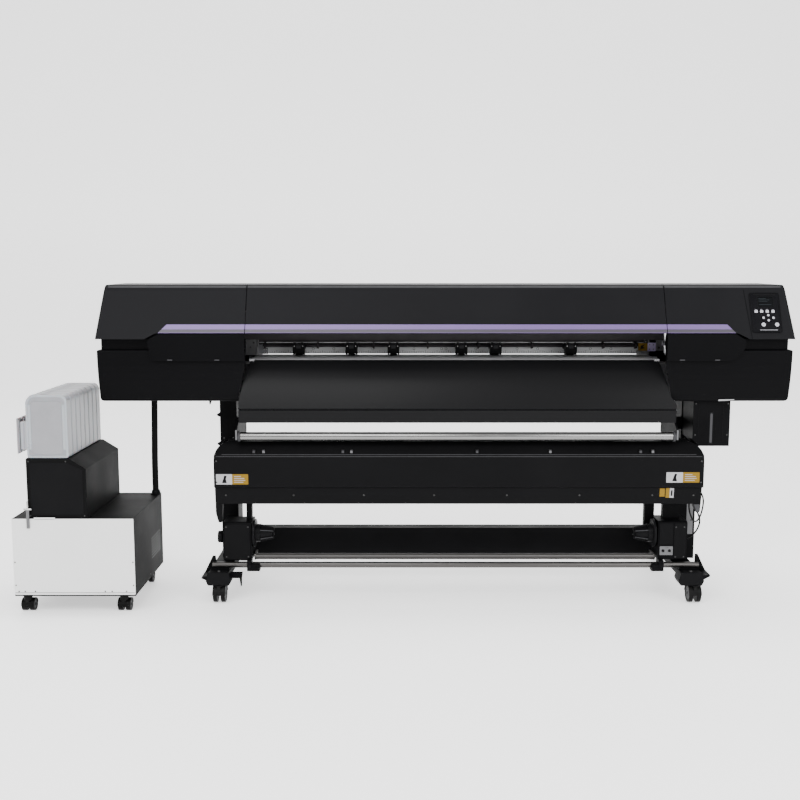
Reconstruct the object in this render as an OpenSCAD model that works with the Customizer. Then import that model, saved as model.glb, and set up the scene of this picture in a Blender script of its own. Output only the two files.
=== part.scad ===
// Roll-fed printer cutter on a wheeled stand, with a take-up unit and an ink cart.
// Millimetres. +X right, -Y front, +Z up. Origin at the middle of the floor outline.

/* [Overall] */
// Width over the ink cart and the print head
total_w = 3138; // [2900:2:3400]
// Depth over the cart's handle and the stand's feet
total_d = 880; // [800:2:960]
// Height to the top of the head
total_h = 1320; // [1250:1:1400]

/* [Head] */
// Width of the print head housing
head_w = 2816; // [2600:2:3000]
// Left edge of the media opening, from the head's middle
open_x0 = -806; // [-900:1:-700]
// Right edge of the media opening, from the head's middle
open_x1 = 895; // [700:1:960]
// Height of the lower edge of the front cover
cover_z = 1124; // [1100:1:1150]
// Height of the underside of the side housings
base_z = 843; // [820:1:880]
// Wall thickness of the plastic covers
wall = 3; // [2:0.5:5]

/* [Media path] */
// Height of the platen surface
platen_z = 1012; // [1000:1:1020]
// Radius of the grit sections of the feed shaft
grit_r = 12.4; // [8:0.1:16]
// Travel of the print carriage
carriage_travel = 2100; // [1800:10:2200]

/* [Stand and take-up] */
// Middle of the stand, from the head's middle
stand_x = 72.5; // [0:0.5:120]
// Half the distance between the two legs
leg_dx = 989.5; // [900:0.5:1050]
// Radius of the stand's caster wheels
wheel_r = 37.5; // [25:0.5:60]
// Height of the take-up axis
takeup_z = 277; // [240:1:320]
// Radius of the seat for a paper core
core_r = 37.8; // [20:0.1:45]

/* [Ink cart] */
// Width of the ink cart
cart_w = 486; // [400:2:600]
// Height of the cart's cabinet top
cart_z = 393; // [350:1:450]
// Number of ink cases
case_count = 8; // [4:1:10]
// Spacing of the ink cases
case_pitch = 57; // [50:1:64]

/* [Node] */
// Sub-part to show

/* [Hidden] */

printer_x = total_w / 2 - head_w / 2;
cart_x = -total_w / 2 + cart_w / 2;
back_y = total_d / 2;
front_y = -total_d / 2;
hx = head_w / 2;
face_y = -300;
face_slope = 0.431;
face_tilt = 90 - atan(face_slope);
leg_l = stand_x - leg_dx;
leg_r = stand_x + leg_dx;
arm_x = [-615, -389, -209, 83, 229, 551];
arm_w = 50;
pinch_y = -20;
feed_z = platen_z - 12;
pinch_z = platen_z + 13;
pivot_y = 25;
pivot_z = platen_z + 38;
bar_y = -280;
bar_z = 702;
rail_y = -240;
stem_l = -16;
stem_r = -18;
rail_z = 150;
tens_y = -210;
tens_z = 178;
tens_pivot_y = -150;
core_y = -200;
fit_gap = 0.05;

// ---------- helpers ----------
function unit2(v) = v / norm(v);
function corner_pts(a, c, b, r, n) = [
  for (i = [0:n]) let (t = i / n, u = unit2(a - c) * r, v = unit2(b - c) * r)
    c + u * (1 - t) * (1 - t) + v * t * t];
function soft(p, r, n = 4) = [
  for (i = [0:len(p) - 1])
    each (r[i] <= 0 ? [p[i]] : corner_pts(p[(i + len(p) - 1) % len(p)], p[i], p[(i + 1) % len(p)], r[i], n))];
function face_at(z) = face_y + (z - cover_z) * face_slope;

// outline in Y and Z, swept along X
module sweep_x(x0, x1, pts) {
  translate([x0, 0, 0])
    rotate([90, 0, 90])
      linear_extrude(height = x1 - x0)
        polygon(pts);
}
// outline in X and Z, swept along Y
module sweep_y(y0, y1, pts) {
  translate([0, y1, 0])
    rotate([90, 0, 0])
      linear_extrude(height = y1 - y0)
        polygon(pts);
}
// outline in X and Y, swept along Z
module sweep_z(z0, z1, pts) {
  translate([0, 0, z0])
    linear_extrude(height = z1 - z0)
      polygon(pts);
}
module box(x0, x1, y0, y1, z0, z1) {
  translate([x0, y0, z0])
    cube([x1 - x0, y1 - y0, z1 - z0]);
}
module rod_x(x0, x1, y, z, r) {
  translate([x0, y, z])
    rotate([0, 90, 0])
      cylinder(h = x1 - x0, r = r, $fn = 48);
}
module rod_y(y0, y1, x, z, r) {
  translate([x, y1, z])
    rotate([90, 0, 0])
      cylinder(h = y1 - y0, r = r, $fn = 48);
}
module rod_z(z0, z1, x, y, r) {
  translate([x, y, z0])
    cylinder(h = z1 - z0, r = r, $fn = 48);
}
module at_printer() {
  translate([printer_x, 0, 0])
    children();
}
module at_cart() {
  translate([cart_x, 0, 0])
    children();
}
// local axes on the sloping front face: x right, y up the slope, z outward
module on_face(x, z) {
  translate([x, face_at(z), z])
    rotate([face_tilt, 0, 0])
      children();
}
module slab(w, h, t, r) {
  linear_extrude(height = t)
    polygon(soft([[-w / 2, -h / 2], [w / 2, -h / 2], [w / 2, h / 2], [-w / 2, h / 2]], [r, r, r, r]));
}

// a round tube along a list of points, with flat ends whose directions are given
function tube_dir(p, i, d0, d1) =
  i == 0 ? d0 : i == len(p) - 1 ? d1 : unit2(unit2(p[i + 1] - p[i]) + unit2(p[i] - p[i - 1]));
function tube_side(d, k) = unit2(k - d * (k * d));
function tube_ring(c, d, r, k, n) =
  let (u = tube_side(d, k), v = cross(d, u))
  [for (j = [0:n - 1]) c + r * (u * cos(360 * j / n) + v * sin(360 * j / n))];
module tube(p, r, d0, d1, k, n = 10) {
  m = len(p);
  polyhedron(
    points = [for (i = [0:m - 1]) each tube_ring(p[i], tube_dir(p, i, d0, d1), r, k, n)],
    faces = concat(
      [[for (j = [0:n - 1]) j]],
      [for (i = [0:m - 2]) for (j = [0:n - 1])
        [i * n + j, (i + 1) * n + (j + 1) % n, i * n + (j + 1) % n]],
      [for (i = [0:m - 2]) for (j = [0:n - 1])
        [i * n + j, (i + 1) * n + j, (i + 1) * n + (j + 1) % n]],
      [[for (j = [0:n - 1]) (m - 1) * n + n - 1 - j]]));
}
// smooth curve through control points
function mix4(a, b, c, d, t) =
  0.5 * ((2 * b) + (c - a) * t + (2 * a - 5 * b + 4 * c - d) * t * t + (3 * b - a - 3 * c + d) * t * t * t);
function flow(p, n) = [
  for (i = [0:len(p) - 2]) for (j = [0:n - (i == len(p) - 2 ? 0 : 1)])
    mix4(p[max(i - 1, 0)], p[i], p[i + 1], p[min(i + 2, len(p) - 1)], j / n)];

// ---------- head covers ----------
// outer side outline of the upper head, lower edge at z
function top_side(z, d) = soft([
  [face_at(z) + d * 1.09, z],
  [face_at(1300) + d * 1.09, 1300],
  [-206 + d * 0.6, total_h - 3 - d],
  [120, total_h - d],
  [168 - d, total_h - 6 - d],
  [172 - d, z]], [0, 9, 11, 20, 16, 0]);

function cover_side(d) = soft([
  [face_at(cover_z) + d * 1.09, cover_z],
  [face_at(1300) + d * 1.09, 1300],
  [-206 + d * 0.6, total_h - 3 - d],
  [16, total_h - 0.5 - d]], [0, 9, 11, 0]);

function rev(p) = [for (i = [len(p) - 1:-1:0]) p[i]];

module front_cover() {
  color([0.10, 0.10, 0.11])
    at_printer() {
      sweep_x(open_x0 + 1.5, open_x1 - 1.5, concat(cover_side(0), rev(cover_side(wall))));
      // stiffening ribs behind the front face
      for (x = [-640, -80, 470])
        sweep_x(x, x + 4, [[face_at(1140) + 2.2, 1140], [face_at(1285) + 2.2, 1285],
          [face_at(1285) + 16, 1285], [face_at(1140) + 14, 1140]]);
      // inward lip along the lower edge
      sweep_x(open_x0 + 1.5, open_x1 - 1.5, [[face_y + 2, cover_z], [face_y + 22, cover_z],
        [face_y + 22, cover_z + 3], [face_y + 3.2, cover_z + 3]]);
    }
}
module strip(x0, x1, x2, x3) {
  // x0,x1 lower edge, x2,x3 upper edge
  intersection() {
    sweep_x(min(x0, x2), max(x1, x3), [[face_at(cover_z + 1), cover_z + 1],
      [face_at(cover_z + 35), cover_z + 35],
      [face_at(cover_z + 35) - 2.2, cover_z + 34.2], [face_at(cover_z + 1) - 2.2, cover_z + 1.8]]);
    sweep_y(face_y - 10, face_y + 60, [[x0, cover_z], [x1, cover_z], [x3, cover_z + 36], [x2, cover_z + 36]]);
  }
}
module accent_center() {
  color([0.36, 0.24, 0.55])
    at_printer()
      strip(open_x0 + 1.5, open_x1 - 1.5, open_x0 + 1.5, open_x1 - 1.5);
}
module accent_ends() {
  color([0.36, 0.24, 0.55])
    at_printer() {
      strip(-1157, open_x0 - 1.5, -1120, open_x0 - 1.5);
      strip(open_x1 + 1.5, 1172, open_x1 + 1.5, 1136);
    }
}
function left_front(d) = [[-hx + 1 + d, 1101], [-1210, 1101], [-1166, cover_z], [open_x0 + (d > 0 ? 5 : -1), cover_z],
  [open_x0 + (d > 0 ? 5 : -1), total_h + 5], [-hx + 24 + d, total_h + 5]];
module left_housing_top() {
  color([0.09, 0.09, 0.10])
    at_printer()
      difference() {
        intersection() {
          sweep_x(-hx, open_x0 - 1, top_side(1095, 0));
          sweep_y(-330, 200, left_front(0));
        }
        intersection() {
          sweep_x(-hx, open_x0 + 6, concat([[face_at(1090) + 3.3, 1090]], top_side(1095, wall), [[172 - wall, 1090]]));
          sweep_y(-330, 200, [[-hx + 4.2, 1098], [open_x0 + 5, 1098], [open_x0 + 5, total_h + 5], [-hx + 27, total_h + 5]]);
        }
      }
}
module right_housing_top() {
  color([0.09, 0.09, 0.10])
    at_printer()
      difference() {
        intersection() {
          sweep_x(open_x1 + 1, hx, top_side(1095, 0));
          sweep_y(-330, 200, [[open_x1 + 1, cover_z], [1180, cover_z], [1226, 1101], [hx - 1, 1101],
            [hx - 24, total_h + 5], [open_x1 + 1, total_h + 5]]);
        }
        intersection() {
          sweep_x(open_x1 - 6, hx, concat([[face_at(1090) + 3.3, 1090]], top_side(1095, wall), [[172 - wall, 1090]]));
          sweep_y(-330, 200, [[open_x1 - 5, 1098], [hx - 4.2, 1098], [hx - 27, total_h + 5], [open_x1 - 5, total_h + 5]]);
        }
      }
}
function base_side(d) = soft([
  [-268 + d, 1100], [-268 + d, 1058], [-286 + d, 1054], [-285 + d, 960], [-262 + d, base_z + d],
  [236 - d, base_z + d], [252 - d, 880], [252 - d, 1060], [168 - d, 1100]], [0, 0, 5, 60, 16, 14, 20, 20, 0]);
module left_housing_base() {
  color([0.07, 0.07, 0.08])
    at_printer()
      difference() {
        intersection() {
          sweep_x(-hx, open_x0 - 1, base_side(0));
          sweep_y(-330, 300, soft([[-hx + 14, 1100], [-hx + 14, 1058], [-hx, 1054], [-hx + 3, base_z],
            [open_x0 - 34, base_z], [open_x0 - 34, 862], [open_x0 - 1, 1006], [open_x0 - 1, 1100]],
            [0, 0, 4, 18, 0, 0, 0, 0]));
        }
        intersection() {
          sweep_x(-hx, open_x0 + 5, concat([[-268 + wall, 1110]], base_side(wall), [[165, 1110]]));
          sweep_y(-330, 300, [[-hx + 17, 1110], [-hx + 17, 1056], [-hx + 3, 1052], [-hx + 6, base_z + wall],
            [open_x0 + 9, base_z + wall], [open_x0 + 9, 1110]]);
        }
      }
  // ear and pin that carry the clamp lever
  color([0.07, 0.07, 0.08])
    at_printer() {
      box(-862, -856, 252, 284, 980, 1018);
      rod_x(-856, -838, 268, 1000, 5);
    }
}
module right_housing_base() {
  color([0.07, 0.07, 0.08])
    at_printer()
      difference() {
        intersection() {
          sweep_x(open_x1 + 1, hx, base_side(0));
          sweep_y(-330, 300, soft([[hx - 14, 1100], [open_x1 + 1, 1100], [open_x1 + 1, 1006], [open_x1 + 31, 862],
            [open_x1 + 31, base_z], [hx - 3, base_z], [hx, 1054], [hx - 14, 1058]], [0, 0, 0, 0, 0, 18, 4, 0]));
        }
        intersection() {
          sweep_x(open_x1 - 5, hx, concat([[-268 + wall, 1110]], base_side(wall), [[165, 1110]]));
          sweep_y(-330, 300, [[hx - 17, 1110], [open_x1 - 4, 1110], [open_x1 - 4, base_z + wall], [hx - 6, base_z + wall],
            [hx - 3, 1052], [hx - 17, 1056]]);
        }
      }
  // mains inlet on the rear
  color([0.07, 0.07, 0.08])
    at_printer()
      difference() {
        box(1180, 1232, 251, 264, 884, 918);
        box(1189, 1223, 256, 265, 890, 912);
      }
}
module left_door() {
  color([0.08, 0.08, 0.09])
    at_printer() {
      sweep_y(-300, -292, soft([[-1202, cover_z - 28], [-1158, cover_z - 3], [open_x0 - 3, cover_z - 3],
        [open_x0 - 3, 1012], [-1186, 1012]], [16, 8, 0, 4, 16]));
      box(-1120, -1100, -303, -300, 1014, 1019);
      box(-930, -910, -303, -300, 1014, 1019);
    }
}
module right_door() {
  color([0.08, 0.08, 0.09])
    at_printer() {
      sweep_y(-300, -292, soft([[open_x1 + 3, 1012], [open_x1 + 3, cover_z - 3], [1174, cover_z - 3],
        [1214, cover_z - 28], [1214, 1062], [1164, 1012]], [4, 0, 8, 8, 22, 22]));
      box(948, 968, -303, -300, 1014, 1019);
      box(1090, 1110, -303, -300, 1014, 1019);
    }
}
module rear_cover() {
  color([0.10, 0.10, 0.11])
    at_printer() {
      p = soft([[22, total_h - 0.5], [120, total_h], [168, total_h - 6], [172, 1090], [150, 1076]], [0, 20, 16, 16, 0]);
      q = soft([[22, total_h - 3.5], [120, total_h - 3], [165, total_h - 9], [169, 1091], [148, 1078]], [0, 20, 16, 14, 0]);
      sweep_x(open_x0 + 1.5, open_x1 - 1.5, concat(p, rev(q)));
      // joining flanges down to the beam
      for (x = [open_x0 + 40, 30, open_x1 - 60])
        box(x, x + 20, 40, 44, 1200, total_h - 3);
    }
}

// ---------- head inside ----------
module side_plate(x0) {
  difference() {
    sweep_x(x0, x0 + 6, soft([[-158, 866], [196, 866], [196, 1010], [140, 1066], [130, 1286], [12, 1286], [2, 1262],
      [2, 1008], [-158, 1008]], [8, 8, 20, 20, 30, 10, 10, 0, 4]));
    box(x0 - 1, x0 + 7, 0, 80, 1078, 1200);
    rod_x(x0 - 1, x0 + 7, pinch_y, feed_z, 7 + fit_gap);
    box(x0 - 1, x0 + 7, -60, 60, 862, 980);
  }
}
module chassis() {
  color([0.32, 0.33, 0.34])
    at_printer() {
      difference() {
        box(-1370, 1370, -60, 60, 862, 980);
        box(-1371, 1371, -56, 56, 866, 976);
      }
      side_plate(open_x0 - 1);
      side_plate(open_x1 - 5);
      // pads over the two legs
      for (x = [leg_l, leg_r])
        box(x - 60, x + 60, -55, 55, base_z + wall, 862);
      // ribs under the platen
      for (x = [-760, -540, -120, 330, 700, 860]) {
        box(x, x + 6, -58, -36, 980, platen_z - 4);
        box(x, x + 6, 2, 44, 980, platen_z - 4);
      }
      // posts that carry the ends of the guide beam
      box(-1335, -1325, 4, 56, 980, 1078);
      box(1355, 1365, 4, 56, 980, 1078);
      // tray and posts of the capping station
      box(958, 1182, -152, -60, 938, 946);
      rod_z(946, 990, 990, -107, 5);
      rod_z(946, 990, 1150, -107, 5);
    }
}
module guide_beam() {
  color([0.75, 0.76, 0.78])
    at_printer() {
      difference() {
        box(-1340, 1370, 0, 80, 1078, 1200);
        box(-1341, 1371, 4, 76, 1082, 1196);
      }
      // carriage rail
      box(-1330, 1360, -8, 0, 1140, 1160);
      // web and light front rail over the feed line
      box(open_x0 + 6, open_x1 - 6, 60, 66, 1040, 1078);
      sweep_x(open_x0 + 26, open_x1 - 22, soft([[50, platen_z + 2], [72, platen_z + 2], [72, 1048], [50, 1048]],
        [3, 0, 0, 3]));
      // pivot rod of the pinch units and its brackets
      rod_x(-772, 846, pivot_y, pivot_z, 5);
      for (x = [-772, -541, -299, -63, 156, 390, 700, 840])
        sweep_x(x, x + 6, [[14, 1042], [50, 1036], [60, 1036], [60, 1066], [50, 1066], [14, 1058]]);
    }
}
module carriage() {
  color([0.13, 0.13, 0.14])
    at_printer() {
      sweep_x(950, 1190, soft([[-165, 1084], [-165, 1212], [-140, 1232], [-30, 1232], [-12, 1214], [-12, 1084]],
        [4, 14, 14, 10, 10, 0]));
      box(960, 1180, -160, -58, 1030, 1084);
      for (i = [0:3])
        box(972 + i * 52, 1008 + i * 52, -146, -70, 1016, 1030);
      box(980, 1160, -12, -2, 1161, 1168);
      box(980, 1160, -12, -2, 1132, 1139);
    }
}
module cutter_tool() {
  color([0.62, 0.63, 0.66])
    at_printer() {
      rod_z(1030, 1112, 936, -112, 8);
      rod_z(1112, 1120, 936, -112, 10);
      box(924, 949.4, -126, -98, 1062, 1080);
      translate([936, -112, 1020])
        cylinder(h = 10, r1 = 1, r2 = 6, $fn = 36);
    }
}
module platen() {
  color([0.62, 0.63, 0.65])
    at_printer()
      difference() {
        sweep_x(open_x0 + 5.3, open_x1 - 5.3, [[-165, 1000], [-162, 1000], [-162, platen_z - 4], [45, platen_z - 4],
          [45, platen_z], [-159, platen_z], [-165, platen_z - 3]]);
        for (x = arm_x)
          box(x - 32, x + 32, pinch_y - 14.5, pinch_y + 14.5, platen_z - 8, platen_z + 1);
        // groove for the cutting strip
        box(open_x0 + 20, open_x1 - 20, -116, -108, platen_z - 1.5, platen_z + 1);
      }
}
module grit_shaft() {
  color([0.70, 0.70, 0.72])
    at_printer() {
      rod_x(-830, 925, pinch_y, feed_z, 7);
      for (x = arm_x)
        rod_x(x - 28, x + 28, pinch_y, feed_z, grit_r);
    }
}
module pinch_arms() {
  color([0.08, 0.08, 0.09])
    at_printer()
      for (x = arm_x)
        difference() {
          union() {
            sweep_x(x - arm_w / 2, x + arm_w / 2, soft([[-44, 1041], [-14, 1041], [6, 1037], [38, 1040], [38, 1060], [-44, 1062]],
              [0, 0, 0, 6, 6, 3]));
            box(x - 25, x - 17, -36, -6, 1017, 1042);
            box(x + 17, x + 25, -36, -6, 1017, 1042);
            // front plate with two horns
            box(x - 25, x + 25, -47, -43, 1024, 1063);
            box(x - 21, x - 12, -47, -38, 1062, 1070);
            box(x + 12, x + 21, -47, -38, 1062, 1070);
            rod_y(-49.5, -47, x, 1031, 4);
          }
          rod_x(x - 30, x + 30, pivot_y, pivot_z, 5 + fit_gap);
          rod_x(x - 30, x + 30, pinch_y, pinch_z, 3 + fit_gap);
        }
}
module pinch_wheels() {
  color([0.20, 0.20, 0.21])
    at_printer()
      for (x = arm_x) {
        rod_x(x - 15, x + 15, pinch_y, pinch_z, 12);
        rod_x(x - 24.5, x + 24.5, pinch_y, pinch_z, 3);
      }
}
module clamp_lever() {
  color([0.12, 0.12, 0.13])
    at_printer()
      difference() {
        union() {
          rod_x(-855.4, -839, 268, 1000, 12);
          sweep_x(-852, -843, soft([[260, 1000], [276, 1000], [282, 940], [272, 936]], [0, 0, 6, 6]));
          rod_x(-862, -833, 279, 932, 9);
        }
        rod_x(-857, -837, 268, 1000, 5 + fit_gap);
      }
}
module capping_station() {
  color([0.25, 0.25, 0.26])
    at_printer()
      difference() {
        union() {
          box(962, 1178, -150, -64, 947, 1000);
          for (i = [0:3])
            box(974 + i * 52, 1006 + i * 52, -144, -72, 1000, 1008);
        }
        rod_z(940, 996, 990, -107, 5 + fit_gap);
        rod_z(940, 996, 1150, -107, 5 + fit_gap);
        for (i = [0:3])
          box(978 + i * 52, 1002 + i * 52, -140, -76, 1004, 1009);
      }
}
function apron_out() = [[-165, 1006], [-196, 999], [-224, 977], [-250, 940], [-272, 895], [-289, 850],
  [-300, 816], [-300, 810], [-292, 759]];
function apron_in() = [[-289, 759], [-297, 810.2], [-296.9, 815.5], [-286.1, 849], [-269.2, 893.9],
  [-247.4, 938.5], [-221.9, 974.7], [-194.9, 995.8], [-165, 1003]];
module front_apron() {
  color([0.11, 0.11, 0.12])
    at_printer() {
      intersection() {
        sweep_x(-838, 943, concat(apron_out(), apron_in()));
        sweep_y(-310, -150, [[-838, 700], [943, 700], [943, 838], [924, 862], [open_x1 - 5.3, 1000],
          [open_x1 - 5.3, 1010], [open_x0 + 5.3, 1010], [open_x0 + 5.3, 1000], [-836, 862], [-838, 838]]);
      }
      for (x = [-700, -20, 760])
        sweep_x(x, x + 4, [[-60, 870], [-60, 940], [-248.5, 940], [-270.5, 893.9], [-280, 870]]);
    }
}
module rear_apron() {
  color([0.11, 0.11, 0.12])
    at_printer() {
      sweep_x(open_x0 + 5.3, open_x1 - 5.3, [[48, 1006], [120, 1005], [188, 998], [234, 975], [267, 930],
        [288, 870], [300, 810], [300, 760], [297, 760], [297, 809.6], [285.1, 869], [264.4, 928.4],
        [231.9, 972.6], [187, 995], [119.8, 1002], [48, 1003]]);
      for (x = [-700, -20, 760])
        sweep_x(x, x + 4, [[60, 870], [286.3, 870], [265.6, 929], [244, 960], [60, 960]]);
    }
}
module waste_holder() {
  color([0.07, 0.07, 0.08])
    at_printer()
      difference() {
        sweep_y(-232, -72, [[1030, base_z], [1030, 680], [1054, 653], [1182, 653], [1182, base_z]]);
        sweep_y(-230, -74, [[1032, base_z - 2], [1032, 681], [1055, 655], [1183, 655], [1183, base_z - 2]]);
        box(1099, 1111, -233, -229, 666, 791);
      }
}
module waste_tank() {
  color([0.55, 0.55, 0.57])
    at_printer() {
      difference() {
        sweep_x(1034, 1180, soft([[-227, 656], [-77, 656], [-77, 812], [-227, 812]], [8, 8, 10, 10]));
        sweep_y(-240, -60, [[1030, 640], [1030, 688.7], [1058, 656], [1058, 640]]);
      }
      rod_z(811, 832, 1100, -150, 18);
    }
}

// ---------- control panel ----------
key_row = [-38.5, -16.5, 6.5, 29.5];
module control_panel() {
  color([0.05, 0.05, 0.06])
    at_printer()
      on_face(1297.5, 1205)
        difference() {
          slab(121, 172, 4, 10);
          translate([2.5, 45.7, -1])
            slab(62.4, 46.4, 6, 3);
          for (x = key_row)
            translate([x, 4.4, -1])
              slab(13, 11, 6, 2);
          translate([8.5, -23, -1])
            slab(55, 33, 6, 14);
          translate([-13.5, -52, -1])
            cylinder(h = 6, r = 8.5, $fn = 48);
          translate([40.5, -52, -1])
            cylinder(h = 6, r = 8.5, $fn = 48);
        }
}
module lcd_screen() {
  color([0.20, 0.24, 0.28])
    at_printer()
      on_face(1297.5, 1205)
        translate([2.5, 45.7, 0])
          slab(62, 46, 3.2, 3);
}
module row_key(i) {
  color([0.55, 0.56, 0.60])
    at_printer()
      on_face(1297.5, 1205)
        translate([key_row[i], 4.4, 1.4])
          slab(12, 10, 3.8, 2);
}
module key_1() {
  row_key(0);
}
module key_2() {
  row_key(1);
}
module key_3() {
  row_key(2);
}
module key_4() {
  row_key(3);
}
module nav_pad() {
  color([0.55, 0.56, 0.60])
    at_printer()
      on_face(1297.5, 1205)
        translate([8.5, -23, 1.4])
          difference() {
            slab(54, 32, 3.8, 13.5);
            translate([0, 0, 3])
              cylinder(h = 2, r = 4, $fn = 36);
          }
}
module round_key(x) {
  color([0.55, 0.56, 0.60])
    at_printer()
      on_face(1297.5, 1205)
        translate([x, -52, 1.4])
          cylinder(h = 3.8, r = 8, $fn = 48);
}
module key_enter() {
  round_key(-13.5);
}
module key_end() {
  round_key(40.5);
}

// ---------- stand ----------
module leg(xc, fx, wx) {
  // fx is the foot's middle and wx the stem's, both from the column
  difference() {
    union() {
      // column
      difference() {
        box(xc - 36, xc + 36, -70, 50, 130, base_z);
        box(xc - 32, xc + 32, -66, 46, 138, base_z + 1);
      }
      // foot: a low block over each caster and a raised bar between them
      translate([xc + fx, 0, 0])
        difference() {
          union() {
            for (y = [[-302, -228], [back_y - 112, back_y]])
              sweep_y(y[0], y[1], soft([[-44, 78], [44, 78], [53, 98], [42, 134], [-42, 134], [-53, 98]],
                [4, 4, 4, 6, 6, 4]));
            sweep_y(-230, back_y - 110, [[-48, 112], [48, 112], [41, 134], [-41, 134]]);
          }
          for (y = [[-298, -232], [back_y - 108, back_y - 4]])
            sweep_y(y[0], y[1], [[-40, 82], [40, 82], [48, 98], [38, 130], [-38, 130], [-48, 98]]);
          sweep_y(-240, back_y - 100, [[-43, 116], [43, 116], [37, 130], [-37, 130]]);
        }
      // saddle of the slide rail, behind and below it
      box(xc + fx - 40, xc + fx + 40, -240, -222, 132, 156);
      box(xc + fx - 40, xc + fx + 40, -256, -239, 132, 141);
      // bracket that carries the dryer
      box(xc - 25, xc + 25, -130, -69, 470, 600);
    }
    rod_x(xc - 110, xc + 110, rail_y, rail_z, 12.5);
    // sockets of the two caster stems
    rod_z(76, 84, xc + wx, -290, 6 + fit_gap);
    rod_z(76, 84, xc + wx, back_y - 50, 6 + fit_gap);
  }
}
module bar_plate(x0) {
  // plate that holds one end of the guide bar
  sweep_x(x0, x0 + 8, soft([[-302, 684], [-40, 684], [-40, 764], [-250, 764], [-302, 730]], [8, 4, 4, 20, 12]));
}
module leg_left() {
  color([0.06, 0.06, 0.07])
    at_printer() {
      leg(leg_l, -17, stem_l);
      // angular wing on the outer side of the foot, and a levelling lug on the inner side
      sweep_y(-226, -219, [[-1004, 112], [-950, 112], [-957, 184], [-969, 184]]);
      sweep_y(-300, -219, [[-1004, 108], [-982, 99], [-978, 119], [-1004, 114]]);
      sweep_y(-262, -256, [[-890, 98], [-852, 98], [-848, 64], [-843, 64], [-842, 98], [-838.5, 125], [-890, 125]]);
      bar_plate(-852);
      box(leg_l + 36, -852, -70, -42, 700, 750);
    }
}
module leg_right() {
  color([0.06, 0.06, 0.07])
    at_printer() {
      leg(leg_r, -35, stem_r);
      // angular wing on the outer side of the foot
      sweep_y(-226, -219, [[1104, 124], [1104, 117], [1060, 108], [1060, 192], [1071, 192]]);
      sweep_y(-300, -219, [[1104, 124], [1104, 117], [1074, 101], [1070, 121]]);
      bar_plate(945);
      box(953, leg_r - 36, -70, -42, 700, 750);
    }
}
module cross_beam() {
  color([0.05, 0.05, 0.06])
    at_printer()
      difference() {
        box(leg_l + 36, leg_r - 36, -40, 20, 140, 258);
        box(leg_l + 35, leg_r - 35, -37, 17, 143, 255);
      }
}
// caster with its stem at the origin of x and y, trailing to the rear for t = 1
module fork(t) {
  difference() {
    union() {
      rod_z(75.5, 77.5, 0, 0, 19);
      rod_z(77, 95, 0, 0, 6);
      sweep_x(-7, 7, soft([[-18, 66], [-14, 50], [t * 20 - 12, 26], [t * 20 + 12, 26], [t * 20 + 20, 52],
        [t * 20 + 14, 76.5], [-18, 76.5]], [3, 6, 8, 8, 8, 6, 3]));
      rod_x(-26, 26, t * 20, wheel_r, 5);
    }
  }
}
module twin_wheel(t) {
  for (s = [-1, 1])
    difference() {
      rod_x(s > 0 ? 8 : -25, s > 0 ? 25 : -8, t * 20, wheel_r, wheel_r);
      rod_x(-27, 27, t * 20, wheel_r, 5 + fit_gap);
      rod_x(s > 0 ? 22 : -26, s > 0 ? 26 : -22, t * 20, wheel_r, wheel_r - 9);
    }
}
module at_caster(xc, y) {
  color([0.05, 0.05, 0.05])
    at_printer()
      translate([xc, y, 0])
        children();
}
module fork_fl() {
  at_caster(leg_l + stem_l, -290)
    fork(1);
}
module fork_fr() {
  at_caster(leg_r + stem_r, -290)
    fork(1);
}
module fork_rl() {
  at_caster(leg_l + stem_l, back_y - 50)
    rotate([0, 0, 180])
      fork(1);
}
module fork_rr() {
  at_caster(leg_r + stem_r, back_y - 50)
    rotate([0, 0, 180])
      fork(1);
}
module wheel_fl() {
  at_caster(leg_l + stem_l, -290)
    twin_wheel(1);
}
module wheel_fr() {
  at_caster(leg_r + stem_r, -290)
    twin_wheel(1);
}
module wheel_rl() {
  at_caster(leg_l + stem_l, back_y - 50)
    rotate([0, 0, 180])
      twin_wheel(1);
}
module wheel_rr() {
  at_caster(leg_r + stem_r, back_y - 50)
    rotate([0, 0, 180])
      twin_wheel(1);
}

// ---------- guide bar, dryer and take-up ----------
module guide_bar() {
  color([0.78, 0.78, 0.79])
    at_printer()
      rod_x(-844, 945, bar_y, bar_z, 17.5);
}
module dryer_housing() {
  color([0.10, 0.10, 0.11])
    at_printer() {
      difference() {
        intersection() {
          sweep_x(-945, 1066, soft([[-236, 674], [-250, 664], [-290, 624], [-290, 492], [-278, 486], [-270, 416],
            [-150, 416], [-130, 440], [-130, 650], [-150, 674]], [4, 6, 3, 3, 0, 6, 6, 4, 8, 6]));
          sweep_y(-300, -120, soft([[-944, 410], [1063, 410], [1063, 488], [1066, 490], [1066, 674], [-945, 674],
            [-945, 490], [-944, 488]], [0, 0, 0, 0, 70, 70, 0, 0], 6));
        }
        sweep_x(-942, 1063, soft([[-237, 671], [-287, 622], [-287, 494], [-275, 488], [-267, 419],
          [-152, 419], [-133, 442], [-133, 648], [-152, 671]], [4, 3, 3, 0, 6, 6, 4, 8, 6]));
        // air slots under the front
        for (i = [0:11])
          box(-800 + i * 140, -700 + i * 140, -250, -238, 414, 421);
      }
      // end skirts
      sweep_y(-268, -240, soft([[-944, 417], [-944, 378], [-933, 338], [-919, 338], [-915, 417]], [0, 10, 4, 4, 0]));
      sweep_y(-268, -240, soft([[1031, 417], [1047, 378], [1061, 384], [1063, 417]], [0, 6, 6, 0]));
      // small hooks along the front edge
      for (x = [-780, -740, -415, -380, 135, 435, 805, 855])
        box(x - 7, x + 7, -284, -272, 628, 646);
    }
}
module slide_rail() {
  color([0.72, 0.72, 0.72])
    at_printer()
      rod_x(-967, 1070, rail_y, rail_z, 12.5);
}
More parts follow.
